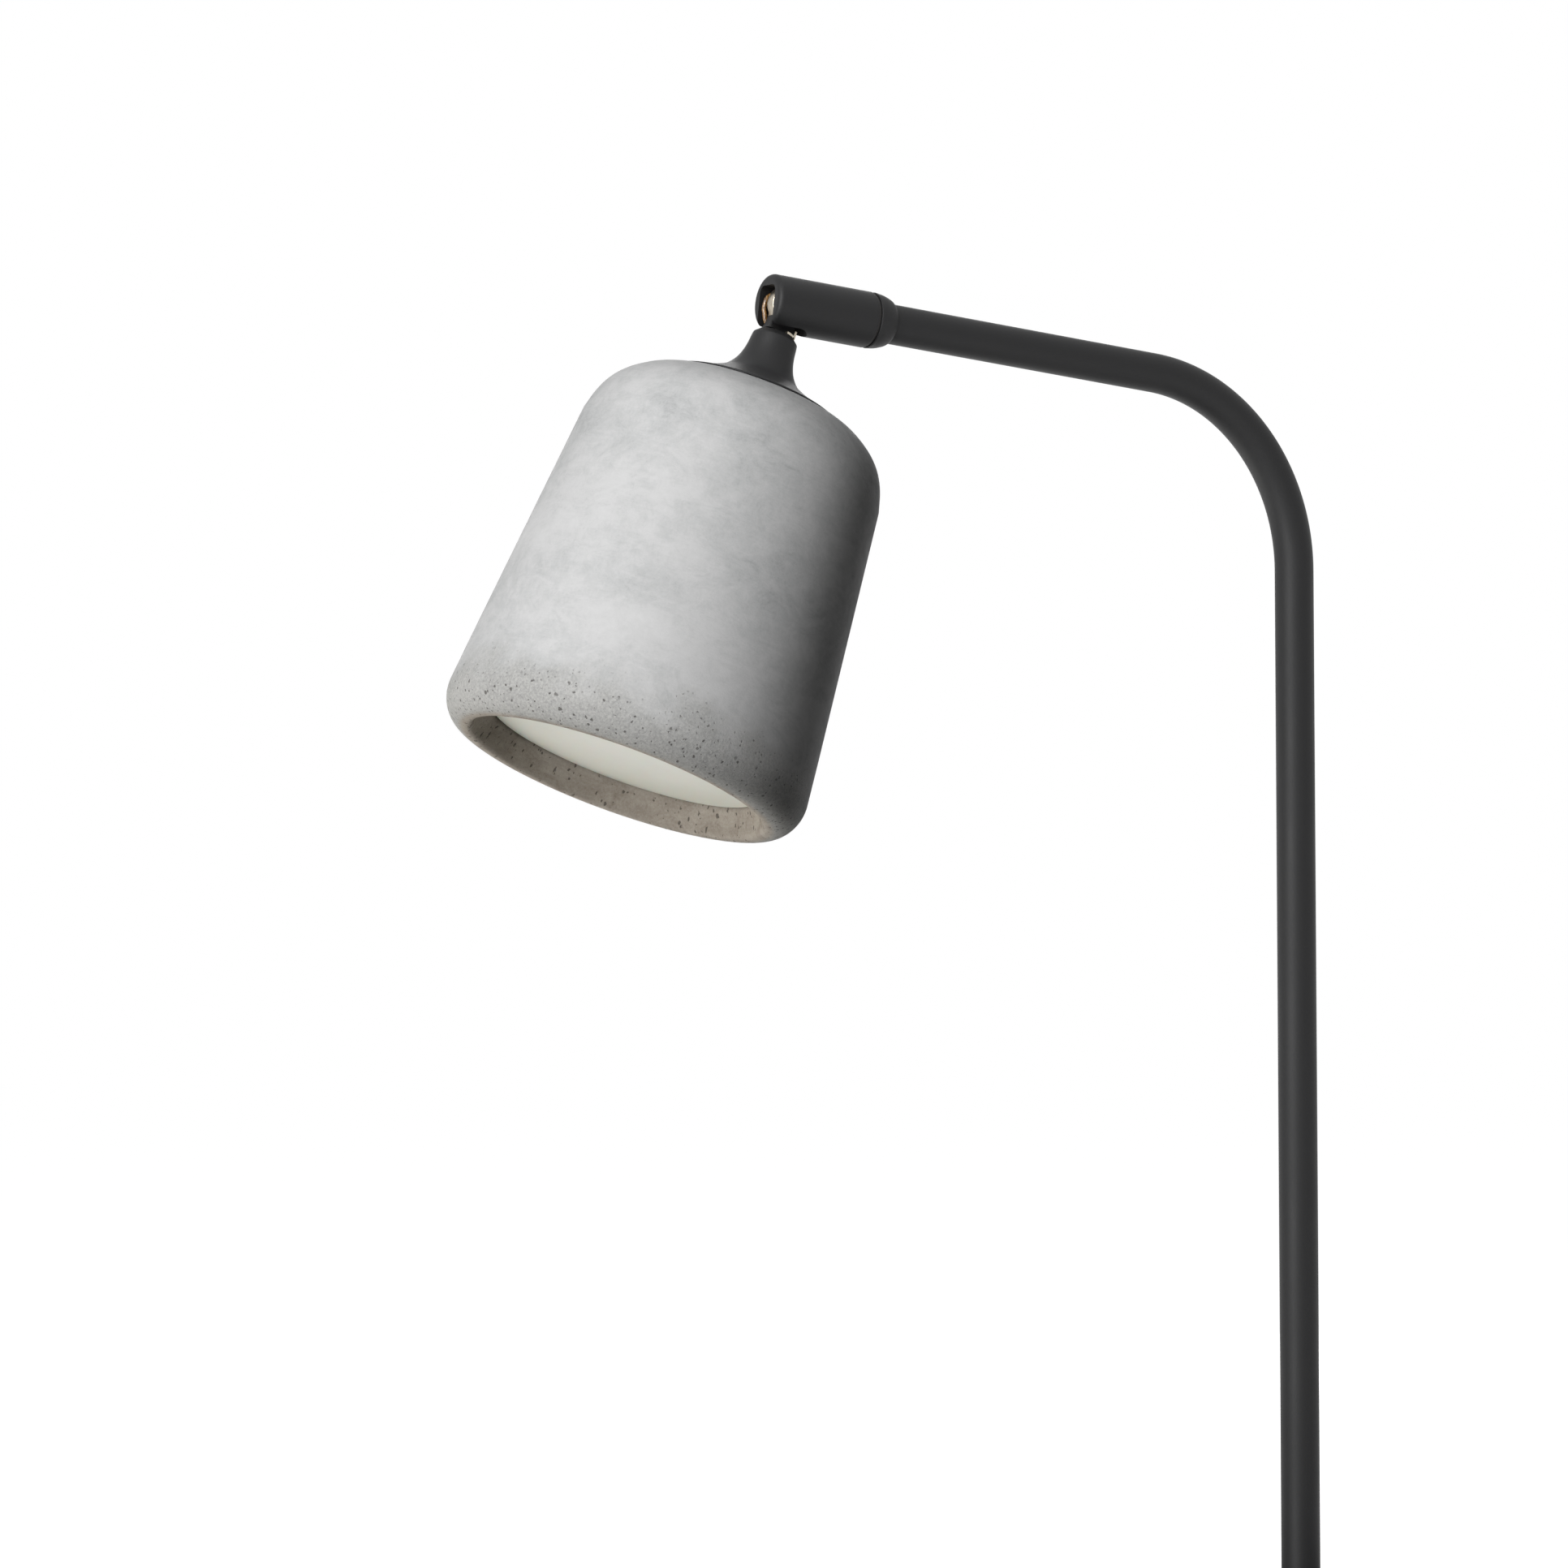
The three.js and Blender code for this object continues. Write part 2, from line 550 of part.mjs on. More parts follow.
// In the swivel's frame: X up, Y to the far side, Z out along the arm. Both cores pass the
// tongue on its far side, one looped over the pin to the front and one down behind it.
function makeHingeLeads() {
  const at = (forward, up, side) => [up, side, PIN_FROM_SEAM + forward];
  const start = 15.6 - PIN_FROM_SEAM;
  add(swivel, 'hinge_core_a', lead([
    at(start, 0, CORE_SPREAD), at(-12.5, 0.7, 1.6), at(-8.8, 2.2, 2.8), at(-6.6, 2.7, 3.4),
    at(-4.4, 2.8, 3.5), at(-2.7, 3, 3.45), at(0.6, 4, CORE_SIDE), at(3.4, 3.7, CORE_SIDE),
    at(6, 1.8, CORE_SIDE), at(6.8, -1.2, CORE_SIDE), at(6.1, -5, CORE_SIDE),
    at(4.9, -8, CORE_SIDE - 0.1), at(5.02, -9.9, CORE_SIDE - 0.3),
  ], 2, CORE_R), goldInsulation);
  add(swivel, 'hinge_core_b', lead([
    at(start, 0, -CORE_SPREAD), at(-13.5, -0.5, -0.9), at(-10.5, -1, 1.4), at(-8.2, -1.9, 3.2),
    at(-6.3, -2.7, 3.5), at(-4.6, -4.4, 3.75), at(-3.2, -6.3, 3.95), at(-1.5, -8.3, 4),
    at(0.2, -9.8, 3.9), at(0.62, -11.0, CORE_SIDE - 0.3),
  ], 2, CORE_R), goldInsulation);
}

function makeHeadLeads() {
  for (const [name, side] of [['a', 1], ['b', -1]]) {
    const x = side * CORE_HOLE_X;
    const y = CORE_SIDE - 0.3;
    add(head, `head_core_${name}`, lead([
      [x, y, CAP_TOP + 0.4], [x, y, 17.4], [side * 1.6, 5, 25], [side * 1.35, 6.4, 34],
      [side * 1.35, 6.6, 42], [side * 1.35, 6.6, 55], [side * 2, 5.6, 61.6],
    ], 2, CORE_R), goldInsulation);
  }
}

makeBase();
makeArm();
makeSwivel();
makeKnuckle();
makeTongue();
makeCap();
makeShade();
makeLampParts();
makeStandLeads();
makeHingeLeads();
makeHeadLeads();

export default lamp;
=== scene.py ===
# Table lamp: a bent steel tube on a round foot, a slotted swivel knuckle, and a cast concrete
# shade that tilts on a pin through the knuckle.
import json
import math

import bmesh
import bpy
import numpy as np
from mathutils import Matrix, Vector


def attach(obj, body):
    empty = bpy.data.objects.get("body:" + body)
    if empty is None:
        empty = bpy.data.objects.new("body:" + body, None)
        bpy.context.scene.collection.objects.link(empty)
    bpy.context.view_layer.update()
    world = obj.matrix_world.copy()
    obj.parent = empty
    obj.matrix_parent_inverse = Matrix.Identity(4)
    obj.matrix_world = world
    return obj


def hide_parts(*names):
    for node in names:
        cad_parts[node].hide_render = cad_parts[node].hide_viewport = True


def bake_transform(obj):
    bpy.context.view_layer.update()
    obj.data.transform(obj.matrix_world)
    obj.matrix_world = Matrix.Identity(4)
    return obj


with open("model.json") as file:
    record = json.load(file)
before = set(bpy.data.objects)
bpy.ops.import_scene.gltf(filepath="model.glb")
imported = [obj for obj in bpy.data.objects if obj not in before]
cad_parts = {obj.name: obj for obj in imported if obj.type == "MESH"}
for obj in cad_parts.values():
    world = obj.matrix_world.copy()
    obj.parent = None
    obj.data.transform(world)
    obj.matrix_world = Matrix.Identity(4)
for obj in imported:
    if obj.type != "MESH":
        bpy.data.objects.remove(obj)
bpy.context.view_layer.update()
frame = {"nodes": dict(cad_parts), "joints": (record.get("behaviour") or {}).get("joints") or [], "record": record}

MM = 0.001
JOINTS = {j["name"]: j for j in frame["joints"]}
SEAM = Vector(JOINTS["knuckle_swivel"]["pos_m"])
ARM_AXIS = Vector(JOINTS["knuckle_swivel"]["axis"]).normalized()
PIN = Vector(JOINTS["head_tilt"]["pos_m"])
PIN_AXIS = Vector((0, 1, 0))
HEAD_TILT = math.radians(22.3)
HEAD_AXIS = Vector((-math.sin(HEAD_TILT), 0, -math.cos(HEAD_TILT)))


def axes_at(origin, z_axis):
    """Millimetres along local axes to metres in the lamp's frame; local Y is the pin's direction."""
    turn = Matrix((PIN_AXIS.cross(z_axis), PIN_AXIS, z_axis)).transposed().to_4x4()
    turn.translation = origin
    return turn @ Matrix.Scale(MM, 4)


LAMP = Matrix.Scale(MM, 4)
ARM = axes_at(SEAM, ARM_AXIS)        # Z from the seam out along the arm, X up
HEAD = axes_at(PIN, HEAD_AXIS)       # Z from the pin to the shade's mouth, X to the free end
HEAD_TURN = HEAD.to_euler()


# ------------------------------------------------------------------ nodes and colours
CELLS = "ShaderNodeTexVoronoi"
MAPPING = "ShaderNodeMapping"
MATH = "ShaderNodeMath"
MIX = "ShaderNodeMix"
NOISE = "ShaderNodeTexNoise"
RAMP = "ShaderNodeValToRGB"
RANGE = "ShaderNodeMapRange"
SPLIT = "ShaderNodeSeparateXYZ"
VECTOR_MATH = "ShaderNodeVectorMath"
SMOOTH = {"interpolation_type": "SMOOTHSTEP"}


def linear(code):
    """A #rrggbb colour as Blender's linear red, green, blue and alpha."""
    parts = [int(code[i:i + 2], 16) / 255 for i in (1, 3, 5)]
    return [c / 12.92 if c <= 0.04045 else ((c + 0.055) / 1.055) ** 2.4 for c in parts] + [1]


def connect(tree, node, inputs):
    """Sets a node's inputs, or links them from a socket or from the first output of a node."""
    for socket, value in inputs.items():
        if isinstance(value, bpy.types.Node):
            value = value.outputs[0]
        if isinstance(value, bpy.types.NodeSocket):
            tree.links.new(value, node.inputs[socket])
        else:
            node.inputs[socket].default_value = value


def add_node(tree, kind, inputs=None, stops=(), **settings):
    """Adds a node with its settings, its inputs and a ramp's stops, given as (place, colour)."""
    made = tree.nodes.new(kind)
    for name, value in settings.items():
        setattr(made, name, value)
    if stops:
        while len(made.color_ramp.elements) < len(stops):
            made.color_ramp.elements.new(0.5)
        for element, (position, colour) in zip(made.color_ramp.elements, stops):
            element.position = position
            element.color = linear(colour)
    connect(tree, made, inputs or {})
    return made


def per(size_mm):
    """The scale that makes a texture's lumps or cells about size_mm across."""
    return 1 / (size_mm * MM)


def weighted(tree, *parts):
    """The sum of patterns, each given as (pattern, share)."""
    total = None
    for pattern, share in parts:
        part = add_node(tree, MATH, {0: pattern, 1: share}, operation="MULTIPLY")
        if total is not None:
            part = add_node(tree, MATH, {0: total, 1: part}, operation="ADD")
        total = part
    return total


def wandering(tree, along, spot, lump_mm, detail, reach):
    """Height along the head's axis, pushed up and down by a slow noise that moves it by up to
    half of reach, so that a band set off by height has an uneven edge."""
    drift = add_node(tree, NOISE, {
        "Vector": spot, "Scale": per(lump_mm), "Detail": detail, "Roughness": 0.6})
    centred = add_node(tree, MATH, {0: drift, 1: 0.5}, operation="SUBTRACT")
    return weighted(tree, (along, 1), (centred, reach))


def blow_holes(tree, spot, cell_mm, largest, rarity, wall=0.7, seed=None):
    """1 in a hole and 0 outside it, with one hole in each cell. The largest radius is a share of
    the cell's width, a higher rarity makes more of the holes small, and the wall slopes in to its
    share of the radius."""
    inputs = {"Vector": spot, "Scale": per(cell_mm)}
    if seed is not None:
        inputs["W"] = seed
    cells = add_node(tree, CELLS, inputs, feature="F1",
                     voronoi_dimensions="3D" if seed is None else "4D")
    chance = add_node(tree, SPLIT, {"Vector": cells.outputs["Color"]})
    rare = add_node(tree, MATH, {0: chance, 1: rarity}, operation="POWER")
    edge = add_node(tree, MATH, {0: rare, 1: largest}, operation="MULTIPLY")
    floor_edge = add_node(tree, MATH, {0: edge, 1: wall}, operation="MULTIPLY")
    return add_node(tree, RANGE, {
        "Value": cells, "From Min": edge, "From Max": floor_edge}, **SMOOTH)


def new_material(name, **shader_values):
    """A material with one Principled shader; uniform values go straight on its sockets."""
    material = bpy.data.materials.new(name)
    material.use_nodes = True
    tree = material.node_tree
    tree.nodes.clear()
    shader = add_node(tree, "ShaderNodeBsdfPrincipled", {
        socket.replace("_", " "): value for socket, value in shader_values.items()})
    add_node(tree, "ShaderNodeOutputMaterial", {"Surface": shader})
    place = add_node(tree, "ShaderNodeTexCoord").outputs["Object"]
    return material, tree, shader, place


def surfaced(tree, shader, colour, relief, relief_mm, strength=1.0, roughness=None):
    """Gives a shader its colour, its relief and, where it varies, its roughness."""
    bump = add_node(tree, "ShaderNodeBump", {
        "Height": relief, "Distance": relief_mm * MM, "Strength": strength})
    connect(tree, shader, {"Base Color": colour, "Normal": bump})
    if roughness is not None:
        connect(tree, shader, {"Roughness": roughness})


# ------------------------------------------------------------------ finishes
def speckled(name, colours, roughness, grain_mm, height_mm, **shader_values):
    """A plain finish: a slow drift of colour and roughness, and a fine grain in the surface."""
    drift_mm = 18
    material, tree, shader, place = new_material(name, **shader_values)
    drift = add_node(tree, NOISE, {
        "Vector": place, "Scale": per(drift_mm), "Detail": 3, "Roughness": 0.6})
    grain = add_node(tree, NOISE, {
        "Vector": place, "Scale": per(grain_mm), "Detail": 2, "Roughness": 0.6})
    tone = weighted(tree, (drift, 0.55), (grain, 0.45))
    colour = add_node(tree, RAMP, {"Fac": tone}, [(0.3, colours[0]), (0.7, colours[1])])
    dullness = add_node(tree, RANGE, {
        "Value": tone, "From Min": 0.3, "From Max": 0.7,
        "To Min": roughness[0], "To Max": roughness[1]}, **SMOOTH)
    surfaced(tree, shader, colour, grain, height_mm, roughness=dullness)
    return material


# Polyester powder coat, charcoal, baked on steel: a matt skin with a fine sandy grain of just
# under half a millimetre, so that only grazing light shows on it.
def powder_coat():
    material, tree, shader, place = new_material(
        "charcoal_powder_coat", IOR=1.45, Specular_IOR_Level=0.36)
    grain = add_node(tree, NOISE, {
        "Vector": place, "Scale": per(0.42), "Detail": 2, "Roughness": 0.55})
    cells = add_node(tree, CELLS, {"Vector": place, "Scale": per(0.5)}, feature="F1")
    drift = add_node(tree, NOISE, {
        "Vector": place, "Scale": per(30), "Detail": 3, "Roughness": 0.55})
    tone = weighted(tree, (grain, 0.5), (drift, 0.5))
    colour = add_node(tree, RAMP, {"Fac": tone}, [(0.25, "#131314"), (0.75, "#1b1b1c")])
    dullness = add_node(tree, RANGE, {
        "Value": tone, "From Min": 0.3, "From Max": 0.7, "To Min": 0.5, "To Max": 0.6}, **SMOOTH)
    relief = weighted(tree, (grain, 1), (cells, 0.6))
    surfaced(tree, shader, colour, relief, 0.035, 0.7, roughness=dullness)
    return material


# Cast fine concrete, ground smooth and sealed: clouded where the mould oil lay, faint rubbed
# streaks round it, and an open, sandy, pitted band at the lip where the mould was filled.
def cast_concrete():
    material, tree, shader, place = new_material(
        "cast_concrete", IOR=1.5, Specular_IOR_Level=0.15)
    local = add_node(tree, MAPPING, {
        "Vector": place, "Location": PIN, "Rotation": HEAD_TURN}, vector_type="TEXTURE")
    parts = add_node(tree, SPLIT, {"Vector": local}).outputs
    flat = add_node(tree, "ShaderNodeCombineXYZ", {"X": parts["X"], "Y": parts["Y"]})
    radius = add_node(tree, VECTOR_MATH, {0: flat}, operation="LENGTH").outputs["Value"]

    # The clouds lie across the head's axis, and the streaks follow two directions of rubbing.
    lying, rubbed, wiped = (
        add_node(tree, MAPPING, {
            "Vector": local, "Scale": (1, 1, squeeze), "Rotation": turn}, vector_type="POINT")
        for squeeze, turn in ((1.5, (0, 0, 0)), (6, (0.5, 0.3, 0)), (9, (-0.7, 0.6, 0.4))))
    clouds, smudges, rubs, wipes, mottle, sand, grain = (
        add_node(tree, NOISE, {
            "Vector": spot, "Scale": per(size_mm), "Detail": detail, "Roughness": roughness,
            "Distortion": distortion})
        for spot, size_mm, detail, roughness, distortion in (
            (lying, 62, 4, 0.55, 0.3),
            (lying, 17, 7, 0.72, 1.2),
            (rubbed, 7, 5, 0.75, 0),
            (wiped, 9, 6, 0.8, 0),
            (local, 3.4, 6, 0.8, 0.6),
            (local, 0.9, 4, 0.8, 0),
            (local, 0.7, 3, 0.65, 0)))
    streaks = weighted(tree, (rubs, 0.5), (wipes, 0.5))
    tone = weighted(tree, (clouds, 0.36), (smudges, 0.26), (streaks, 0.14), (mottle, 0.16),
                    (grain, 0.08))
    skin = add_node(tree, RAMP, {"Fac": tone}, [
        (0.38, "#a0a0a1"), (0.46, "#b7b8b8"), (0.53, "#c4c4c4"), (0.63, "#cdcdcd")])

    # The sandy band near the lip is open-grained, and its edge wanders round the shade.
    height = wandering(tree, parts["Z"], local, 22, 4, 0.035)
    band, at_edge = (
        add_node(tree, RANGE, {"Value": height, "From Min": low, "From Max": high}, **SMOOTH)
        for low, high in ((0.153, 0.172), (0.163, 0.173)))
    open_grain = add_node(tree, RAMP, {"Fac": sand}, [
        (0.3, "#7f7e7c"), (0.47, "#9f9e9b"), (0.62, "#b7b6b2")])
    opened = add_node(tree, MATH, {0: band, 1: 0.75}, operation="MULTIPLY")
    outer = add_node(tree, MIX, {0: opened, 6: skin, 7: open_grain}, data_type="RGBA").outputs[2]

    # The wall inside the lip is painted darker and warmer: painted shade in the recess and painted warm bounce
    # light from the diffuser.
    within = add_node(tree, RANGE, {
        "Value": radius, "From Min": 0.0585, "From Max": 0.0555}, **SMOOTH)
    low_down = add_node(tree, RANGE, {
        "Value": parts["Z"], "From Min": 0.150, "From Max": 0.166}, **SMOOTH)
    inside = add_node(tree, MATH, {0: within, 1: low_down}, operation="MULTIPLY")
    inside_lip_shade_tone = weighted(tree, (smudges, 0.6), (sand, 0.4))
    painted_shade_inside_lip = add_node(tree, RAMP, {"Fac": inside_lip_shade_tone}, [
        (0.34, "#857b70"), (0.5, "#a39a8f"), (0.66, "#b8b0a6")])
    plain = add_node(tree, MIX, {0: inside, 6: outer, 7: painted_shade_inside_lip}, data_type="RGBA").outputs[2]

    # Pinholes and ragged blow holes too fine for the mesh, sunk into the relief and painted dark as shade in them.
    # The mould's wall drew those inside the lip out along the head's axis.
    ragged_mm = 1.1
    shove = add_node(tree, NOISE, {"Vector": local, "Scale": per(ragged_mm), "Detail": 2})
    pushed = add_node(tree, VECTOR_MATH, {
        0: shove.outputs["Color"], "Scale": ragged_mm * MM}, operation="SCALE")
    ragged = add_node(tree, VECTOR_MATH, {0: local, 1: pushed}, operation="ADD")
    drawn = add_node(tree, MAPPING, {"Vector": ragged, "Scale": (1, 1, 0.4)}, vector_type="POINT")
    outside = add_node(tree, MATH, {0: 1.0, 1: inside}, operation="SUBTRACT")
    on_band, on_edge = (
        add_node(tree, MATH, {0: outside, 1: mask}, operation="MULTIPLY")
        for mask in (band, at_edge))
    pinholes = 0.0
    for spot, cell_mm, largest, rarity, mask in (
            (ragged, 1.7, 0.32, 1.4, on_band),
            (ragged, 3.0, 0.26, 1.1, on_edge),
            (drawn, 1.5, 0.34, 1.1, inside),
            (drawn, 3.4, 0.24, 1.0, inside)):
        holes = blow_holes(tree, spot, cell_mm, largest, rarity)
        kept = add_node(tree, MATH, {0: holes, 1: mask}, operation="MULTIPLY")
        pinholes = add_node(tree, MATH, {0: pinholes, 1: kept}, operation="MAXIMUM")

    # The mesh's pits and the pinholes are mixed towards #3a3631: painted shade in the hollows.
    pit = add_node(tree, "ShaderNodeAttribute", attribute_name="pit").outputs["Fac"]
    deep = add_node(tree, RANGE, {"Value": pit, "From Min": 0.1, "From Max": 0.7}, **SMOOTH)
    shaded = add_node(tree, MATH, {0: pinholes, 1: 0.9}, operation="MULTIPLY")
    deepest_pit_shade = add_node(tree, MATH, {0: deep, 1: shaded}, operation="MAXIMUM")
    painted_pit_shade = add_node(tree, MATH, {0: deepest_pit_shade, 1: 0.8}, operation="MULTIPLY")
    colour = add_node(tree, MIX, {0: painted_pit_shade, 6: plain, 7: linear("#3a3631")},
                      data_type="RGBA").outputs[2]
    dullness = add_node(tree, RANGE, {
        "Value": tone, "From Min": 0.35, "From Max": 0.65, "To Min": 0.78, "To Max": 0.66}, **SMOOTH)
    sandy = add_node(tree, MATH, {0: sand, 1: band}, operation="MULTIPLY")
    relief = weighted(tree, (sandy, 1.1), (grain, 0.3), (streaks, 0.12), (pinholes, -1.2))
    surfaced(tree, shader, colour, relief, 0.22, 0.8, roughness=dullness)
    return material


# Opal acrylic, satin: milky through its depth, so light spreads in it.
def opal_acrylic():
    material, tree, shader, place = new_material(
        "opal_acrylic", Roughness=0.38, IOR=1.49, Subsurface_Weight=0.25,
        Subsurface_Scale=0.004)
    haze, skin = (
        add_node(tree, NOISE, {
            "Vector": place, "Scale": per(size_mm), "Detail": detail, "Roughness": 0.5})
        for size_mm, detail in ((35, 3), (1.2, 2)))
    colour = add_node(tree, RAMP, {"Fac": haze}, [(0.3, "#d9d9cf"), (0.7, "#e0e0d6")])
    surfaced(tree, shader, colour, skin, 0.006)
    return material


# Satin nickel on turned brass: warm grey metal with fine lathe lines round the pin.
def satin_nickel():
    material, tree, shader, place = new_material("satin_nickel_plate", Metallic=1.0)
    lines = add_node(tree, MAPPING, {"Vector": place, "Scale": (1, 12, 1)}, vector_type="POINT")
    lathe = add_node(tree, NOISE, {
        "Vector": lines, "Scale": per(1.6), "Detail": 3, "Roughness": 0.6})
    colour = add_node(tree, RAMP, {"Fac": lathe}, [(0.3, "#a49b8b"), (0.7, "#c6beb0")])
    dullness = add_node(tree, RANGE, {
        "Value": lathe, "From Min": 0.3, "From Max": 0.7, "To Min": 0.26, "To Max": 0.4}, **SMOOTH)
    surfaced(tree, shader, colour, lathe, 0.01, roughness=dullness)
    return material


# Clear amber PVC on a stranded core: glossy, with the strands showing through.
def amber_insulation():
    material, tree, shader, place = new_material(
        "amber_lead_insulation", Roughness=0.16, IOR=1.53, Coat_Weight=0.6, Coat_Roughness=0.06)
    drawn = add_node(tree, MAPPING, {"Vector": place, "Scale": (3, 3, 1)}, vector_type="POINT")
    strands = add_node(tree, NOISE, {
        "Vector": drawn, "Scale": per(1.6), "Detail": 2, "Roughness": 0.5})
    colour = add_node(tree, RAMP, {"Fac": strands}, [
        (0.35, "#432c12"), (0.55, "#7b562b"), (0.7, "#b5915f")])
    surfaced(tree, shader, colour, strands, 0.02)
    return material


FINISHES = {
    "black_powder_coat": powder_coat(),
    "cast_concrete": cast_concrete(),
    "opal_acrylic": opal_acrylic(),
    "nickel_plate": satin_nickel(),
    "clear_gold_insulation": amber_insulation(),
    # Bright zinc on steel, blued spring steel and turned aluminium: metals with a fine grain.
    "zinc_plated_steel": speckled("zinc_plated_steel", ("#b0b2b4", "#c9cacb"), (0.3, 0.42),
                                  0.6, 0.01, Metallic=1.0),
    "spring_steel": speckled("blued_spring_steel", ("#4c4d52", "#66676b"), (0.28, 0.4),
                             0.5, 0.01, Metallic=1.0),
    "aluminium": speckled("turned_aluminium", ("#bcbec0", "#d2d3d4"), (0.3, 0.42),
                          0.5, 0.01, Metallic=1.0),
    # Moulded rubber and pressed fibre: matt blacks, the fibre a little brown.
    "black_rubber": speckled("moulded_black_rubber", ("#121212", "#1b1b1b"), (0.6, 0.75),
                             0.5, 0.02, IOR=1.52),
    "vulcanised_fibre": speckled("black_vulcanised_fibre", ("#151312", "#201c1a"), (0.6, 0.72),
                                 0.6, 0.02, IOR=1.5),
    # Needled wool felt: fibres that catch the light as a soft fuzz.
    "felt": speckled("needled_felt", ("#141414", "#262626"), (0.9, 1.0), 0.9, 0.25,
                     Sheen_Weight=0.4, Sheen_Roughness=0.5),
    # Unglazed steatite and moulded white polymer of the lamp.
    "white_ceramic": speckled("unglazed_steatite", ("#dcd8cc", "#e8e5db"), (0.55, 0.7),
                              0.5, 0.02, IOR=1.6),
    "white_plastic": speckled("moulded_white_polymer", ("#dededb", "#e9e9e6"), (0.35, 0.45),
                              0.8, 0.01, IOR=1.5),
}


# ------------------------------------------------------------------ outlines
def arc(centre_r, centre_z, radius_r, radius_z, start, end, steps):
    """Points of an elliptical arc, angles in degrees from the r axis towards +z."""
    found = []
    for i in range(steps + 1):
        a = math.radians(start + (end - start) * i / steps)
        found.append((centre_r + radius_r * math.cos(a), centre_z + radius_z * math.sin(a)))
    return found


def spline(points, step):
    """A centripetal Catmull-Rom line through the points, about step apart."""
    p = [np.array(q, float) for q in points]
    p = [2 * p[0] - p[1], *p, 2 * p[-1] - p[-2]]
    found = [p[1]]
    for a, b, c, d in zip(p, p[1:], p[2:], p[3:]):
        t = np.cumsum([0, *(np.linalg.norm(v) ** 0.5 for v in (b - a, c - b, d - c))])
        count = max(2, round(np.linalg.norm(c - b) / step))
        for i in range(1, count + 1):
            u = t[1] + (t[2] - t[1]) * i / count
            ab, bc, cd = ((x * (v - u) + y * (u - w)) / (v - w) for x, y, w, v in (
                (a, b, t[0], t[1]), (b, c, t[1], t[2]), (c, d, t[2], t[3])))
            low = (ab * (t[2] - u) + bc * (u - t[0])) / (t[2] - t[0])
            high = (bc * (t[3] - u) + cd * (u - t[1])) / (t[3] - t[1])
            found.append((low * (t[2] - u) + high * (u - t[1])) / (t[2] - t[1]))
    return [tuple(q) for q in found]


def run(a, b, step):
    """Points from a to b, a left out, about step apart."""
    a, b = np.array(a, float), np.array(b, float)
    count = max(1, round(np.linalg.norm(b - a) / step))
    return [tuple(a + (b - a) * i / count) for i in range(1, count + 1)]


def eased(points, radius, closed=True, steps=4):
    """The outline with each corner rounded, and a close point on each long side of a round, so
    that the flats stay flat when the shading is smooth. The ends of an open outline are kept."""
    hold = 0.35 * radius
    p = [np.array(q, float) for q in points]
    found = []
    for i, corner in enumerate(p):
        if not closed and i in (0, len(p) - 1):
            found.append(tuple(corner))
            continue
        back = p[i - 1] - corner
        ahead = p[(i + 1) % len(p)] - corner
        room = min(np.linalg.norm(back), np.linalg.norm(ahead)) / 2
        back, ahead = back / np.linalg.norm(back), ahead / np.linalg.norm(ahead)
        size = min(radius, 0.8 * room)
        if size + hold < room:
            found.append(tuple(corner + back * (size + hold)))
        for k in range(steps + 1):
            t = k / steps
            found.append(tuple(corner + back * size * (1 - t) ** 2 + ahead * size * t ** 2))
        if size + hold < room:
            found.append(tuple(corner + ahead * (size + hold)))
    return found


# ------------------------------------------------------------------ meshes
def mesh_object(name, vertices, faces, place, finish):
    """An object at the origin whose mesh is put in place, faces outwards, shaded smooth."""
    mesh = bpy.data.meshes.new(name)
    mesh.from_pydata([tuple(v) for v in vertices], [], faces)
    mesh.transform(place)
    made = bpy.data.objects.new(name, mesh)
    bpy.context.scene.collection.objects.link(made)
    tidied(made)
    mesh.materials.append(FINISHES[finish])
    made["finish"] = finish
    return made


SHARP_DEG = 38


def tidied(made):
    """Merges doubles, turns the faces outwards and shades smooth except at real edges."""
    work = bmesh.new()
    work.from_mesh(made.data)
    bmesh.ops.remove_doubles(work, verts=work.verts, dist=1e-7)
    bmesh.ops.recalc_face_normals(work, faces=work.faces)
    work.to_mesh(made.data)
    work.free()
    made.data.shade_smooth()
    made.data.set_sharp_from_angle(angle=math.radians(SHARP_DEG))
    made.data.update()


def turned(name, outline, place, finish, segments=128):
    """A piece turned on a lathe: outline points are (radius, height), closed or from axis to axis."""
    vertices, rings = [], []
    for r, z in outline:
        if abs(r) < 1e-6:
            rings.append([len(vertices)])
            vertices.append((0, 0, z))
            continue
        rings.append(list(range(len(vertices), len(vertices) + segments)))
        for k in range(segments):
            a = 2 * math.pi * k / segments
            vertices.append((r * math.cos(a), r * math.sin(a), z))
    faces = []
    for low, high in zip(rings, rings[1:] + rings[:1]):
        if len(low) == 1 and len(high) == 1:
            continue
        for k in range(segments):
            n = (k + 1) % segments
            loop = [low[k % len(low)], low[n % len(low)], high[n % len(high)], high[k % len(high)]]
            faces.append(tuple(dict.fromkeys(loop)))
    return mesh_object(name, vertices, faces, place, finish)


def prism(name, outline, low, high, place, finish="black_powder_coat"):
    """A straight extrusion along local Z of an outline in local X and Y."""
    count = len(outline)
    vertices = [(x, y, z) for z in (low, high) for x, y in outline]
    faces = [tuple(range(count)), tuple(range(count, 2 * count))]
    faces += [(i, (i + 1) % count, count + (i + 1) % count, count + i) for i in range(count)]
    return mesh_object(name, vertices, faces, place, finish)


def polygon(sides, radius, centre=(0, 0)):
    """The corners of a regular polygon, which stands for a circle where it has many sides."""
    return [(centre[0] + radius * math.cos(2 * math.pi * k / sides),
             centre[1] + radius * math.sin(2 * math.pi * k / sides)) for k in range(sides)]


def finished(made):
    """The object's evaluated mesh as its own plain mesh, with no modifier left on it."""
    depsgraph = bpy.context.evaluated_depsgraph_get()
    depsgraph.update()
    plain = bpy.data.meshes.new_from_object(made.evaluated_get(depsgraph))
    made.modifiers.clear()
    old, made.data = made.data, plain
    bpy.data.meshes.remove(old)
    plain.name = made.name
    return made


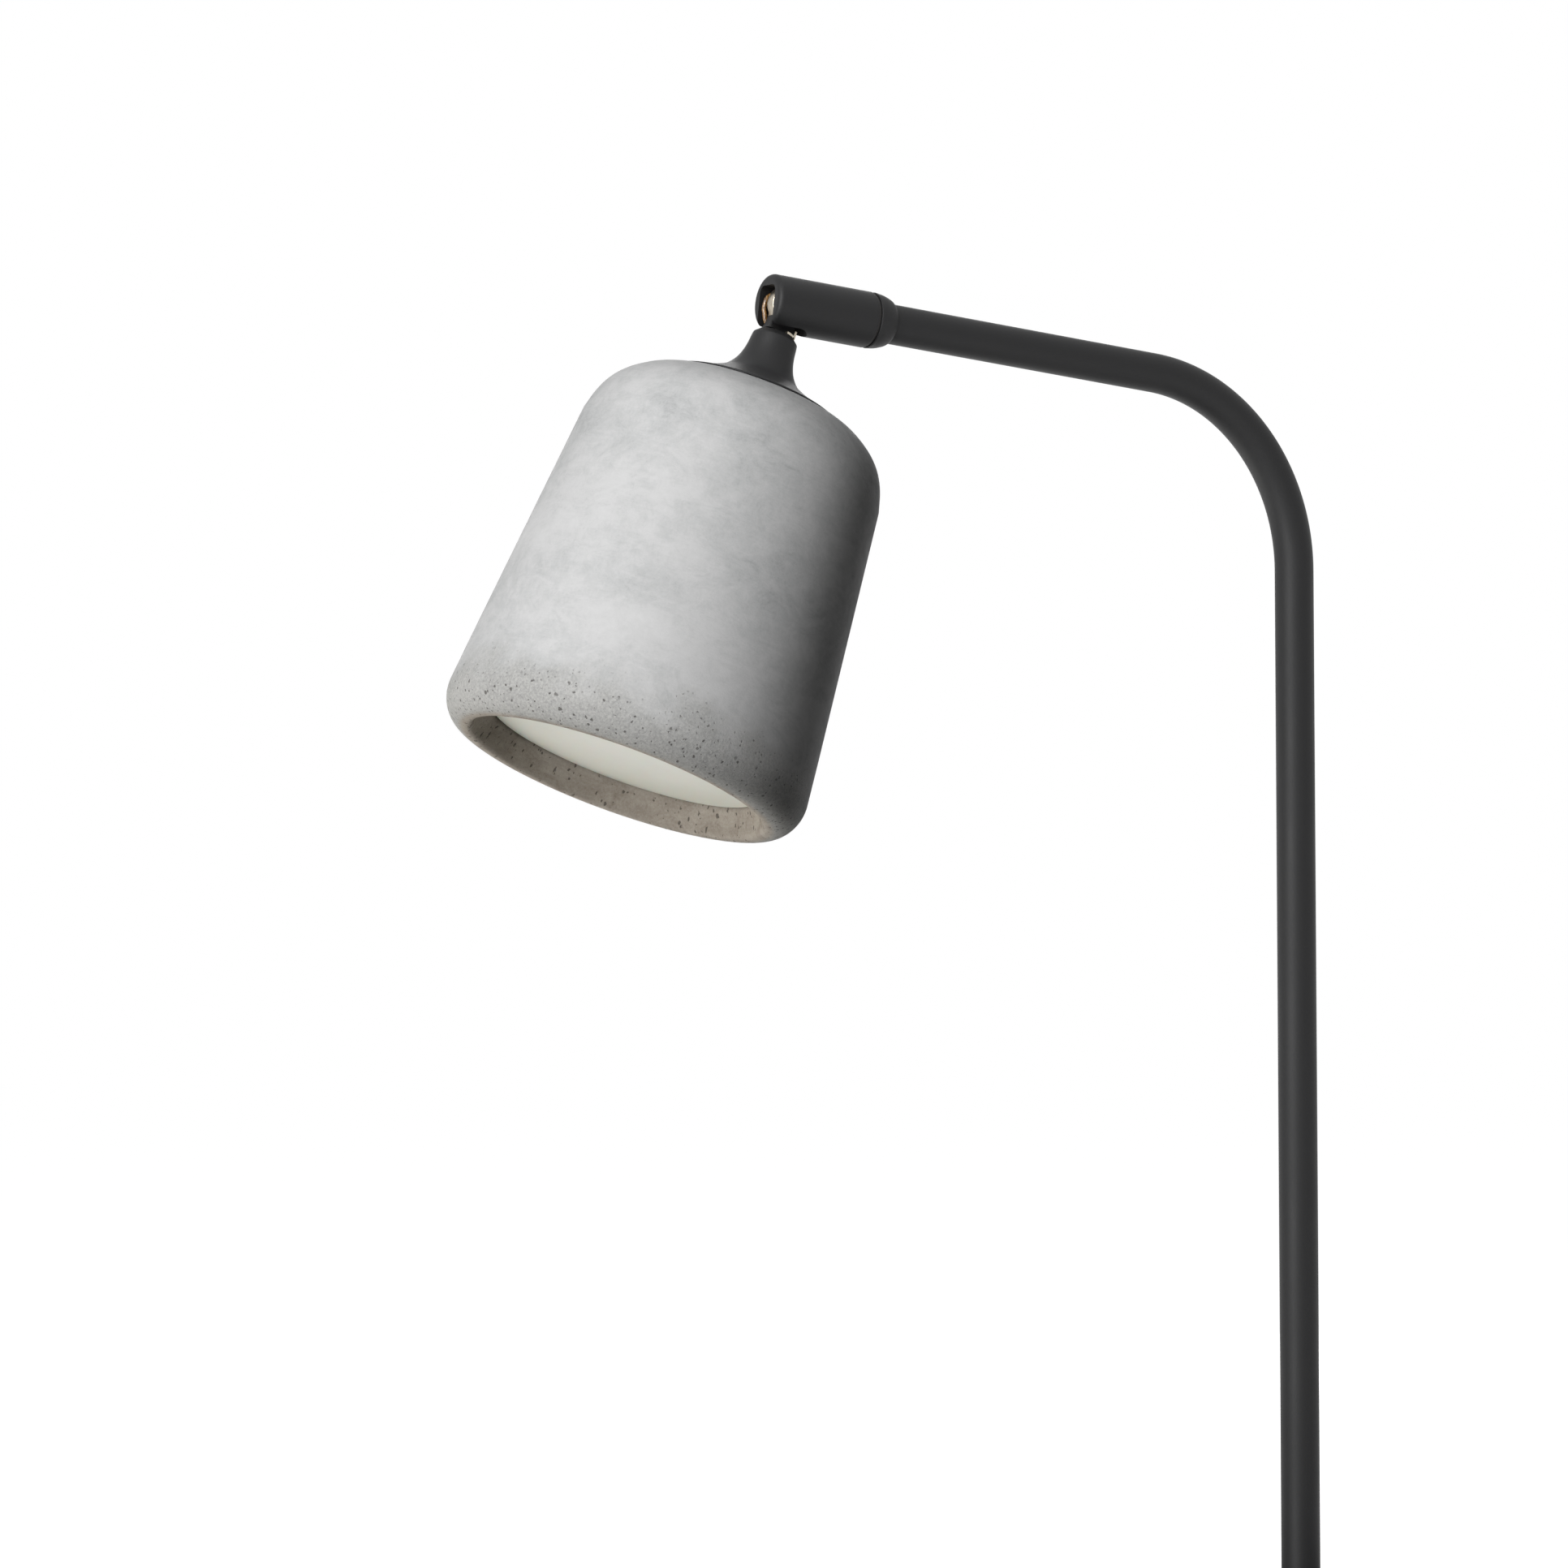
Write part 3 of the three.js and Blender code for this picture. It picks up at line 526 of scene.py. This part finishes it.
def carved(made, cutters, round_mm=0.0):
    """Cuts the cutters out of a piece, then rounds its sharp edges."""
    for tool in cutters:
        step = made.modifiers.new("cut", "BOOLEAN")
        step.operation = "DIFFERENCE"
        step.solver = "EXACT"
        step.object = tool
        finished(made)
        bpy.data.objects.remove(tool)
    tidied(made)
    if round_mm:
        step = made.modifiers.new("round", "BEVEL")
        step.width = round_mm * MM
        step.segments = 3
        step.limit_method = "ANGLE"
        step.angle_limit = math.radians(SHARP_DEG)
        step.use_clamp_overlap = True
        finished(made)
        tidied(made)
    return made


def bar_across(low, high, radius, z, place, sides=64):
    """A round cutting bar along local Y at height z, from y = low to y = high."""
    lie = Matrix.Translation((0, 0, z)) @ Matrix.Rotation(math.radians(90), 4, "X")
    return prism("cutter", polygon(sides, radius), -high, -low, place @ lie)


# ------------------------------------------------------------------ geometry trees
def geometry_tree(name, inputs):
    """A Geometry Nodes tree with named inputs, and {input name: its socket identifier}."""
    tree = bpy.data.node_groups.new(name, "GeometryNodeTree")
    tree.interface.new_socket("Geometry", in_out="INPUT", socket_type="NodeSocketGeometry")
    tree.interface.new_socket("Geometry", in_out="OUTPUT", socket_type="NodeSocketGeometry")
    identifiers = {}
    for label, kind in inputs.items():
        socket = tree.interface.new_socket(label, in_out="INPUT", socket_type=kind)
        identifiers[label] = socket.identifier
    return tree, identifiers


def grown(made, tree, identifiers, values):
    """Runs a Geometry Nodes tree on an object and keeps the result as a plain mesh."""
    step = made.modifiers.new(tree.name, "NODES")
    for label, value in values.items():
        step[identifiers[label]] = value
    step.node_group = tree
    return finished(made)


def dressed_result(tree, geometry, finish):
    """Ends a tree: realizes its instances, gives them their finish and puts them out."""
    real = add_node(tree, "GeometryNodeRealizeInstances", {"Geometry": geometry})
    dressed = add_node(tree, "GeometryNodeSetMaterial", {"Geometry": real, "Material": finish})
    add_node(tree, "NodeGroupOutput", {"Geometry": dressed})


def swept_tube_tree():
    """Sweeps a round section along the edges of a path."""
    tree, identifiers = geometry_tree("swept_round_section", {
        "Radius": "NodeSocketFloat", "Sides": "NodeSocketInt", "Finish": "NodeSocketMaterial"})
    given = add_node(tree, "NodeGroupInput").outputs
    path = add_node(tree, "GeometryNodeMeshToCurve", {"Mesh": given["Geometry"]})
    section = add_node(tree, "GeometryNodeCurvePrimitiveCircle", {
        "Resolution": given["Sides"], "Radius": given["Radius"]})
    skin = add_node(tree, "GeometryNodeCurveToMesh", {
        "Curve": path, "Profile Curve": section, "Fill Caps": True})
    dressed_result(tree, skin, given["Finish"])
    return tree, identifiers


SWEPT_TUBE = swept_tube_tree()


def swept(name, points, radius, finish, sides=24, place=LAMP):
    """A round bar or lead along points, given in millimetres."""
    mesh = bpy.data.meshes.new(name)
    mesh.from_pydata(points, [(i, i + 1) for i in range(len(points) - 1)], [])
    mesh.transform(place)
    made = bpy.data.objects.new(name, mesh)
    bpy.context.scene.collection.objects.link(made)
    tree, identifiers = SWEPT_TUBE
    grown(made, tree, identifiers, {
        "Radius": radius * MM, "Sides": sides, "Finish": FINISHES[finish]})
    tidied(made)
    made["finish"] = finish
    return made


def pitted_casting_tree():
    """Sinks blow holes of two sizes and a sandy grain into the band of a casting near its lip."""
    tree, identifiers = geometry_tree("pitted_casting", {
        "Deepest Pit": "NodeSocketFloat", "Grain Height": "NodeSocketFloat",
        "Band Start": "NodeSocketFloat", "Band End": "NodeSocketFloat",
        "Seed": "NodeSocketFloat", "Finish": "NodeSocketMaterial"})
    given = add_node(tree, "NodeGroupInput").outputs
    spot = add_node(tree, "GeometryNodeInputPosition")
    outwards = add_node(tree, "GeometryNodeInputNormal")
    from_pin = add_node(tree, VECTOR_MATH, {0: spot, 1: PIN}, operation="SUBTRACT")
    along = add_node(tree, VECTOR_MATH, {
        0: from_pin, 1: HEAD_AXIS}, operation="DOT_PRODUCT").outputs["Value"]
    height = wandering(tree, along, spot, 12, 3, 0.03)
    band = add_node(tree, RANGE, {
        "Value": height, "From Min": given["Band Start"], "From Max": given["Band End"]}, **SMOOTH)

    large, small = (
        blow_holes(tree, spot, cell_mm, largest, rarity=2.5, wall=0.4, seed=given["Seed"])
        for cell_mm, largest in ((6.5, 0.2), (3.1, 0.26)))
    shallow = add_node(tree, MATH, {0: small, 1: 0.8}, operation="MULTIPLY")
    either = add_node(tree, MATH, {0: large, 1: shallow}, operation="MAXIMUM")
    pits = add_node(tree, MATH, {0: either, 1: band}, operation="MULTIPLY")
    sand = add_node(tree, NOISE, {
        "Vector": spot, "Scale": per(1.5), "Detail": 3, "Roughness": 0.7})
    grain = add_node(tree, MATH, {0: sand, 1: 0.5}, operation="SUBTRACT")
    banded = add_node(tree, MATH, {0: grain, 1: band}, operation="MULTIPLY")
    lift = add_node(tree, MATH, {0: banded, 1: given["Grain Height"]}, operation="MULTIPLY")
    sink = add_node(tree, MATH, {0: pits, 1: given["Deepest Pit"]}, operation="MULTIPLY")
    rise = add_node(tree, MATH, {0: lift, 1: sink}, operation="SUBTRACT")
    move = add_node(tree, VECTOR_MATH, {0: outwards, "Scale": rise}, operation="SCALE")
    moved = add_node(tree, "GeometryNodeSetPosition", {
        "Geometry": given["Geometry"], "Offset": move})
    marked = add_node(tree, "GeometryNodeStoreNamedAttribute", {
        "Geometry": moved, "Name": "pit", "Value": pits}, data_type="FLOAT", domain="POINT")
    dressed_result(tree, marked, given["Finish"])
    return tree, identifiers


def ridden(made, body, *stands_for):
    """Puts a finished piece on its body in place of its CAD nodes."""
    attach(made, body)
    if stands_for:
        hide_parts(*stands_for)
    return made


# ------------------------------------------------------------------ stand
POST_X = 60
TUBE_R = 7
BEND_START_Z = 382
BEND_REACH = 66.7
BEND_RISE = 69.8
ARM_SLOPE = math.radians(7.05)
ARM_LENGTH = 117.2
BASE_TOP = 18
GAP = 0.3
BEND_END = math.atan2(BEND_RISE, BEND_REACH * math.tan(ARM_SLOPE))


def bend_point(angle):
    """A point of the tube's bend, which is part of an ellipse, at an angle from its start."""
    return (POST_X - BEND_REACH * (1 - math.cos(angle)), 0,
            BEND_START_Z + BEND_RISE * math.sin(angle))


def make_stand():
    """The round base on its felt pad, the collars, and the tube bent from post to arm."""
    post_axis = LAMP @ Matrix.Translation((POST_X, 0, 0))
    plate = turned("base_plate", eased(
        [(0, 2), (100, 2), (100, BASE_TOP), (0, BASE_TOP)], 2.0, closed=False, steps=6),
        LAMP, "black_powder_coat", 256)
    carved(plate, [
        prism("cutter", polygon(48, 4.3, (POST_X, 0)), 0, 30, LAMP),
        prism("cutter", polygon(64, 12, (POST_X, 0)), 0, 12, LAMP),
        prism("cutter", [(POST_X, -3.7), (105, -3.7), (105, 3.7), (POST_X, 3.7)], 0, 9.2, LAMP),
    ], round_mm=0.25)
    ridden(plate, "stand", "base_plate")
    pad = turned("base_pad", eased([(0, 0), (96, 0), (96, 1.7), (0, 1.7)], 0.5, closed=False),
                 LAMP, "felt", 192)
    ridden(pad, "stand", "base_pad")
    ridden(turned("post_foot_collar", eased(
        [(7.05, 18.15), (11, 18.15), (11, 21.2), (10.2, 22), (7.05, 22)], 0.3),
        post_axis, "black_powder_coat", 96), "stand", "post_foot_collar")
    lie = Matrix.Translation((0, 0, 5.5)) @ Matrix.Rotation(math.radians(90), 4, "Y")
    ridden(turned("inlet_bush", eased(
        [(2.5, 92), (3.4, 92), (3.4, 100.3), (5.1, 100.3), (4.6, 103), (2.5, 103)], 0.35),
        LAMP @ lie, "black_rubber", 64), "stand", "inlet_bush")

    path = [(POST_X, 0, BASE_TOP + GAP), (POST_X, 0, 200)]
    bend_steps = 72
    path += [bend_point(BEND_END * step / bend_steps) for step in range(bend_steps + 1)]
    last = Vector(path[-1])
    reach = Vector((-math.cos(ARM_SLOPE), 0, math.sin(ARM_SLOPE)))
    path += [tuple(last + reach * d) for d in (ARM_LENGTH / 2, ARM_LENGTH - 3)]
    ridden(swept("arm_tube", path, TUBE_R, "black_powder_coat", 72), "stand", "arm_tube")

    taper = spline([(7.7, -7.9), (8.3, -7.1), (9.0, -5.4), (9.55, -3.4), (9.85, -1.2)], 0.4)
    collar = eased([(7.08, -8.3), (7.4, -8.3), (7.6, -8.1)], 0.2, closed=False)
    collar += taper + [(9.9, -0.9), (9.85, -0.72), (9.7, -0.6), (9.5, -0.57), (9.0, -0.57),
                       (4.4, -0.57), (4.4, -2.7), (7.08, -2.7)]
    ridden(turned("arm_collar", collar, ARM, "black_powder_coat", 128), "stand", "arm_collar")
    ridden(turned("seam_ring", eased([(8.4, -0.45), (9.3, -0.45), (9.3, 0.35), (8.4, 0.35)], 0.1),
                  ARM, "vulcanised_fibre", 96), "stand", "seam_ring")


# ------------------------------------------------------------------ knuckle
KNUCKLE_R = 9.9
KNUCKLE_END = 40.4
PIN_Z = 32.1
SLOT_HALF = 5.5
SLOT_ROOF = 5.8
SLOT_START = 24
SLOT_CORNER = 2.6
HINGE_HOLE_R = 2.3


def make_knuckle():
    """The slotted knuckle with its bores, the hinge screw and the two spacers on it."""
    outline = [(0, 0.45), *eased([(0, 0.45), (KNUCKLE_R, 0.45), (KNUCKLE_R, 20)], 0.45,
                                 closed=False)[1:-1]]
    outline += [(KNUCKLE_R, z) for z in (3, 20, 37)]
    outline += arc(KNUCKLE_R - 2, KNUCKLE_END - 2, 2, 2, 0, 90, 12)
    outline += [(7.4, KNUCKLE_END), (0, KNUCKLE_END)]
    body = turned("knuckle_body", outline, ARM, "black_powder_coat", 192)

    roof = SLOT_ROOF - SLOT_CORNER
    wall = SLOT_HALF - SLOT_CORNER
    section = [(-14, -SLOT_HALF), *arc(roof, -wall, SLOT_CORNER, SLOT_CORNER, -90, 0, 9),
               *arc(roof, wall, SLOT_CORNER, SLOT_CORNER, 0, 90, 9), (-14, SLOT_HALF)]
    back = SLOT_START + SLOT_HALF
    stop_groove = turned("cutter", [(5.9, -1), (8.1, -1), (8.1, 2.6), (5.9, 2.6)], ARM,
                         "black_powder_coat", 64)
    lug = prism("cutter", [(5.5, -1.45), (8.4, -1.45), (8.4, 1.45), (5.5, 1.45)], -2, 4, ARM)
    carved(stop_groove, [lug])
    lying = Matrix.Rotation(math.radians(90), 4, "Y")
    carved(body, [
        prism("cutter", polygon(48, 4.3), -1, 9, ARM),
        prism("cutter", polygon(72, 5.5), 7, SLOT_START + 8, ARM),
        prism("cutter", section, back, KNUCKLE_END + 3, ARM),
        prism("cutter", polygon(72, SLOT_HALF, (-back, 0)), -14, roof, ARM @ lying),
        bar_across(-2.7, 2.7, 7.5, PIN_Z, ARM, 72),
        bar_across(-8.4, 12, HINGE_HOLE_R, PIN_Z, ARM, 40),
        bar_across(7.4, 12, 4.2, PIN_Z, ARM, 64),
        stop_groove,
    ], round_mm=0.3)
    ridden(body, "knuckle", "knuckle_body")

    lie = Matrix.Translation((0, 0, PIN_Z)) @ Matrix.Rotation(math.radians(-90), 4, "X")
    screw = turned("hinge_screw", [(0, -8.1), *eased(
        [(0, -8.1), (2, -8.1), (2, 7.7), (3.9, 7.7), (3.9, 9.1), (0, 9.1)], 0.3,
        closed=False)[1:]], ARM @ lie, "nickel_plate", 96)
    carved(screw, [prism("cutter", polygon(6, 1.5), 8.0, 10, ARM @ lie)], round_mm=0.08)
    ridden(screw, "knuckle", "hinge_screw")
    for side, low, high in (("near", -SLOT_HALF + GAP, -2.5), ("far", 2.5, SLOT_HALF - GAP)):
        spacer = turned(f"hinge_spacer_{side}", eased(
            [(HINGE_HOLE_R, low), (2.8, low), (2.8, high), (HINGE_HOLE_R, high)], 0.1),
            ARM @ lie, "nickel_plate", 64)
        ridden(spacer, "knuckle", f"hinge_spacer_{side}")


# ------------------------------------------------------------------ head
EYE_R = 6.9
TONGUE_HALF = 2.2
TONGUE_ROOT = 10.9
FLARE_START = 6.4
PAINT_START = 6.1
STUD_R = 3


def rounded_box_ring(low_x, high_x, low_y, high_y, corner, z, steps=4):
    """A ring of points round a rectangle with rounded corners."""
    corner = min(corner, (high_x - low_x) / 2.01, (high_y - low_y) / 2.01)
    ring = []
    for x, y, start in ((high_x, high_y, 0), (low_x, high_y, 90), (low_x, low_y, 180),
                        (high_x, low_y, 270)):
        cx = x - corner if start in (0, 270) else x + corner
        cy = y - corner if start in (0, 90) else y + corner
        ring += [(px, py, z) for px, py in arc(cx, cy, corner, corner, start, start + 90, steps)]
    return ring


def make_tongue():
    """The eye on the pin is bare plated metal; its neck is coated and flares to the cap's top."""
    levels = [-EYE_R * math.cos(math.radians(a)) for a in range(6, 135, 4)]
    levels = [z for z in levels if z < 5.2] + [5.6 + 0.35 * k for k in range(16)]
    rings = []
    for z in levels:
        eye = math.sqrt(max(EYE_R ** 2 - z ** 2, 0.01))
        neck = 4.7 if z > 3 else 0
        flare = max(0.0, (z - FLARE_START) / (TONGUE_ROOT - FLARE_START)) ** 2
        half = max(eye if z < 6 else 0, neck) + 0.9 * flare
        rings.append(rounded_box_ring(-half, half, -TONGUE_HALF - 2.2 * flare,
                                      TONGUE_HALF + 0.85 * flare, 0.35 + 1.5 * flare, z))
    count = len(rings[0])
    vertices = [v for ring in rings for v in ring]
    faces = [tuple(range(count)), tuple(range(len(vertices) - count, len(vertices)))]
    for level in range(len(rings) - 1):
        a, b = level * count, (level + 1) * count
        faces += [(a + k, a + (k + 1) % count, b + (k + 1) % count, b + k) for k in range(count)]
    tongue = mesh_object("tongue", vertices, faces, HEAD, "nickel_plate")
    carved(tongue, [bar_across(-6, 6, HINGE_HOLE_R, 0, HEAD, 48)])
    tongue.data.materials.append(FINISHES["black_powder_coat"])
    for face in tongue.data.polygons:
        if (face.center - PIN).dot(HEAD_AXIS) > PAINT_START * MM:
            face.material_index = 1
    stud = turned("tongue_stud", eased(
        [(0, 10.4), (STUD_R, 10.4), (STUD_R, 56), (0, 56)], 0.3, closed=False),
        HEAD, "nickel_plate", 48)
    ridden(tongue, "head", "tongue")
    ridden(stud, "head")

    # A tab washer under the tongue: half of its rim shows as a thin bright line on the cap, and
    # one tab is turned up beside the tongue.
    washer = prism("tab_washer", arc(0, 0, 6.0, 6.0, 105, 262, 40), 10.2, 10.96, HEAD,
                   "nickel_plate")
    ridden(washer, "head")
    tab = prism("washer_tab", eased([(-6.2, -2.0), (-5.3, -2.0), (-5.3, 1.0), (-6.2, 1.0)], 0.15),
                7.8, 10.8, HEAD, "nickel_plate")
    ridden(tab, "head")


def make_cap():
    """The trumpet cap with its two lead holes, and the gasket between it and the shade."""
    trumpet = spline([(8.05, 13.0), (8.25, 14.4), (8.65, 17.9), (9.5, 21.4), (10.9, 24.5),
                      (13.6, 27.8), (17.2, 30.0), (22, 32.3), (26.5, 34.2), (30.2, 35.3)], 0.9)
    outline = eased([(3.3, 11), (5.9, 11), (8.05, 13.0), (8.25, 14.4)], 0.35,
                    closed=False)[:-1]
    outline += trumpet[2:] + [(30.9, 35.5), (31.22, 35.72), (31.3, 35.95), (31.25, 36.18)]
    outline += [(31.05, 36.3), (29.7, 36.3), (29.4, 35.95), (23, 35.9), (18, 32.8), (12, 29.4),
                (8.2, 25.6), (6.6, 21.5), (6.2, 16.5), (3.3, 16.5)]
    cap = turned("stem_cap", outline, HEAD, "black_powder_coat", 192)
    carved(cap, [prism("cutter", polygon(24, 1.15, (x, 3.8)), 9, 18, HEAD) for x in (2.3, -2.3)])
    ridden(cap, "head", "stem_cap")
    ridden(turned("cap_gasket", eased([(24, 36.1), (28.9, 36.1), (28.9, 36.85), (24, 36.85)], 0.2),
                  HEAD, "black_rubber", 128), "head", "cap_gasket")


def make_shade():
    """The cast shade, finely stepped where it is pitted, and the diffuser in its mouth."""
    shoulder = spline([(31.2, 37), (35.2, 37.5), (39.2, 38.9), (43.6, 41.6), (47.3, 44.7),
                       (50.2, 48.4), (52.4, 53), (54.4, 60)], 1.3)
    fine = 0.62
    outline = [(9, 37), (20, 37), *shoulder]
    outline += run((54.4, 60), (63.6, 150), 2.6)
    outline += run((63.6, 150), (65.2, 166.6), fine)
    lip = arc(55.5, 167, 9.7, 12.1, 3, 90, 150)
    measured = np.cumsum([0, *(math.dist(a, b) for a, b in zip(lip, lip[1:]))])
    steps = round(measured[-1] / fine)
    outline += [tuple(np.interp(measured[-1] * i / steps, measured, [p[k] for p in lip])
                      for k in (0, 1)) for i in range(steps + 1)]
    outline += spline([(55.5, 179.1), (54.2, 178.9), (53.2, 178.0), (52.3, 175.3), (50.9, 171.9),
                       (49.8, 170.1), (49.6, 167.5)], fine)[1:]
    outline += [(49.6, 160), (48.4, 150), (46.5, 107), (44.6, 64)]
    outline += spline([(44.6, 64), (41.5, 55.5), (36, 50.2), (28, 48)], 3)[1:] + [(9, 48)]
    shade = turned("shade", outline, HEAD, "cast_concrete", 560)
    tree, identifiers = pitted_casting_tree()
    grown(shade, tree, identifiers, {
        "Deepest Pit": 0.75 * MM, "Grain Height": 0.14 * MM, "Band Start": 0.158,
        "Band End": 0.174, "Seed": 4.0, "Finish": FINISHES["cast_concrete"]})
    shade.data.shade_smooth()
    ridden(shade, "head", "shade")

    ridden(turned("diffuser", eased([(0, 166.4), (48.9, 166.4), (48.9, 169.4), (0, 169.4)], 0.5,
                                    closed=False), HEAD, "opal_acrylic", 256),
           "head", "diffuser")


def make_hinge_leads():
    """The two cores that cross the hinge bend between the knuckle and the head."""
    core_radius = 0.85

    def at(forward, up, side):
        """A point given from the pin: along the arm, upwards and along the pin."""
        return (up, side, PIN_Z + forward)
    start = 15.6 - PIN_Z
    routes = {
        "hinge_core_a": [
            at(start, 0, 1.05), at(-12.5, 0.7, 1.6), at(-8.8, 2.2, 2.8), at(-6.6, 2.7, 3.4),
            at(-4.4, 2.8, 3.5), at(-2.7, 3, 3.45), at(0.6, 4, 4.1), at(3.4, 3.7, 4.1),
            at(6, 1.8, 4.1), at(6.8, -1.2, 4.1), at(6.1, -5, 4.1), at(4.9, -8, 4.0),
            at(5.02, -9.9, 3.8)],
        "hinge_core_b": [
            at(start, 0, -1.05), at(-13.5, -0.5, -0.9), at(-10.5, -1, 1.4), at(-8.2, -1.9, 3.2),
            at(-6.3, -2.7, 3.5), at(-4.6, -4.4, 3.75), at(-3.2, -6.3, 3.95), at(-1.5, -8.3, 4),
            at(0.2, -9.8, 3.9), at(0.62, -11.0, 3.8)],
    }
    for name, points in routes.items():
        core = swept(name, spline(points, 0.5), core_radius, "clear_gold_insulation", 20, ARM)
        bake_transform(core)
        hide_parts(name)


make_stand()
make_knuckle()
make_tongue()
make_cap()
make_shade()
make_hinge_leads()

for part in frame["record"]["subparts"]:
    node = frame["nodes"][part["node"]]
    node.data.materials.clear()
    node.data.materials.append(FINISHES[part["material_slot"]])


# ------------------------------------------------------------------ camera
def make_camera():
    """A long lens at the lamp's left front, almost level, looking slightly up."""
    data = bpy.data.cameras.new("camera")
    data.lens = 186.335
    data.sensor_width = 36
    camera = bpy.data.objects.new("camera", data)
    bpy.context.scene.collection.objects.link(camera)
    pitch, roll = math.radians(1.837), math.radians(0.277)
    ahead = Vector((0.47729 * math.cos(pitch), 0.87874 * math.cos(pitch), math.sin(pitch)))
    right = ahead.cross(Vector((0, 0, 1))).normalized()
    up = right.cross(ahead)
    level_right = right.copy()
    right = right * math.cos(roll) - up * math.sin(roll)
    up = up * math.cos(roll) + level_right * math.sin(roll)
    place = Matrix((right, up, -ahead)).transposed().to_4x4()
    place.translation = Vector((-1.4939, -2.4755, 0.2125))
    camera.matrix_world = place
    bpy.context.scene.camera = camera


make_camera()


# ------------------------------------------------------------------ studio
def soft_box(name, towards, aim, distance, size, power, colour="#ffffff", spread_deg=180):
    """A square area light that shines on aim from the direction towards."""
    data = bpy.data.lights.new(name, "AREA")
    data.shape = "SQUARE"
    data.size = size
    data.energy = power
    data.color = linear(colour)[:3]
    data.spread = math.radians(spread_deg)
    light = bpy.data.objects.new(name, data)
    bpy.context.scene.collection.objects.link(light)
    towards = Vector(towards).normalized()
    light.location = Vector(aim) + towards * distance
    light.rotation_euler = towards.to_track_quat("Z", "Y").to_euler()
    light.visible_camera = False


def make_studio():
    """A pale floor that glows as painted light, dimmer round the lamp as painted shade, a white backdrop that
    shows but doesn't light matt faces, and soft boxes.
    """
    scene = bpy.context.scene
    scene.view_settings.view_transform = "Standard"
    world = bpy.data.worlds.new("studio")
    scene.world = world
    world.use_nodes = True
    world.cycles_visibility.diffuse = False
    tree = world.node_tree
    tree.nodes.clear()
    backdrop = add_node(tree, "ShaderNodeBackground", {"Color": linear("#ffffff"), "Strength": 1.0})
    add_node(tree, "ShaderNodeOutputWorld", {"Surface": backdrop})

    bpy.ops.mesh.primitive_plane_add(size=80)
    floor = bpy.context.object
    floor.name = "floor"
    paint = bpy.data.materials.new("pale_floor_painted_light")
    paint.use_nodes = True
    shader = paint.node_tree.nodes["Principled BSDF"]
    connect(paint.node_tree, shader, {
        "Base Color": linear("#f2f2f2"), "Roughness": 0.9, "Specular IOR Level": 0.0,
        "Emission Color": linear("#ffffff")})
    # The floor glows as painted light so that it reads evenly white; the glow drops to under half within 0.2 m of
    # the lamp, a painted darker disc of shade round the base.
    place = add_node(paint.node_tree, "ShaderNodeTexCoord").outputs["Object"]
    away = add_node(paint.node_tree, VECTOR_MATH, {0: place}, operation="LENGTH")
    painted_light_dimmed_round_lamp = add_node(paint.node_tree, RANGE, {
        "Value": away.outputs["Value"], "From Min": 0.2, "From Max": 0.42,
        "To Min": 0.45, "To Max": 1.0}, **SMOOTH)
    connect(paint.node_tree, shader, {"Emission Strength": painted_light_dimmed_round_lamp})
    floor.data.materials.append(paint)
    floor.visible_diffuse = False

    middle = PIN + HEAD_AXIS * 0.1
    mouth = PIN + HEAD_AXIS * 0.17
    soft_box("key", (-0.83, -0.56, 0.50), middle, 2.4, 1.1, 44)
    soft_box("low_key", (-0.90, -0.42, -0.06), middle, 2.2, 1.0, 32)
    soft_box("floor_bounce", (-0.35, 0.62, -0.70), mouth, 0.34, 0.34, 0.24, "#fffdf6", 70)
    soft_box("back_fill", (0.47729, 0.87874, 0.25), middle, 3.0, 1.4, 20)
    soft_box("top_fill", (0.1, -0.3, 1.0), middle, 2.0, 1.2, 5)


make_studio()
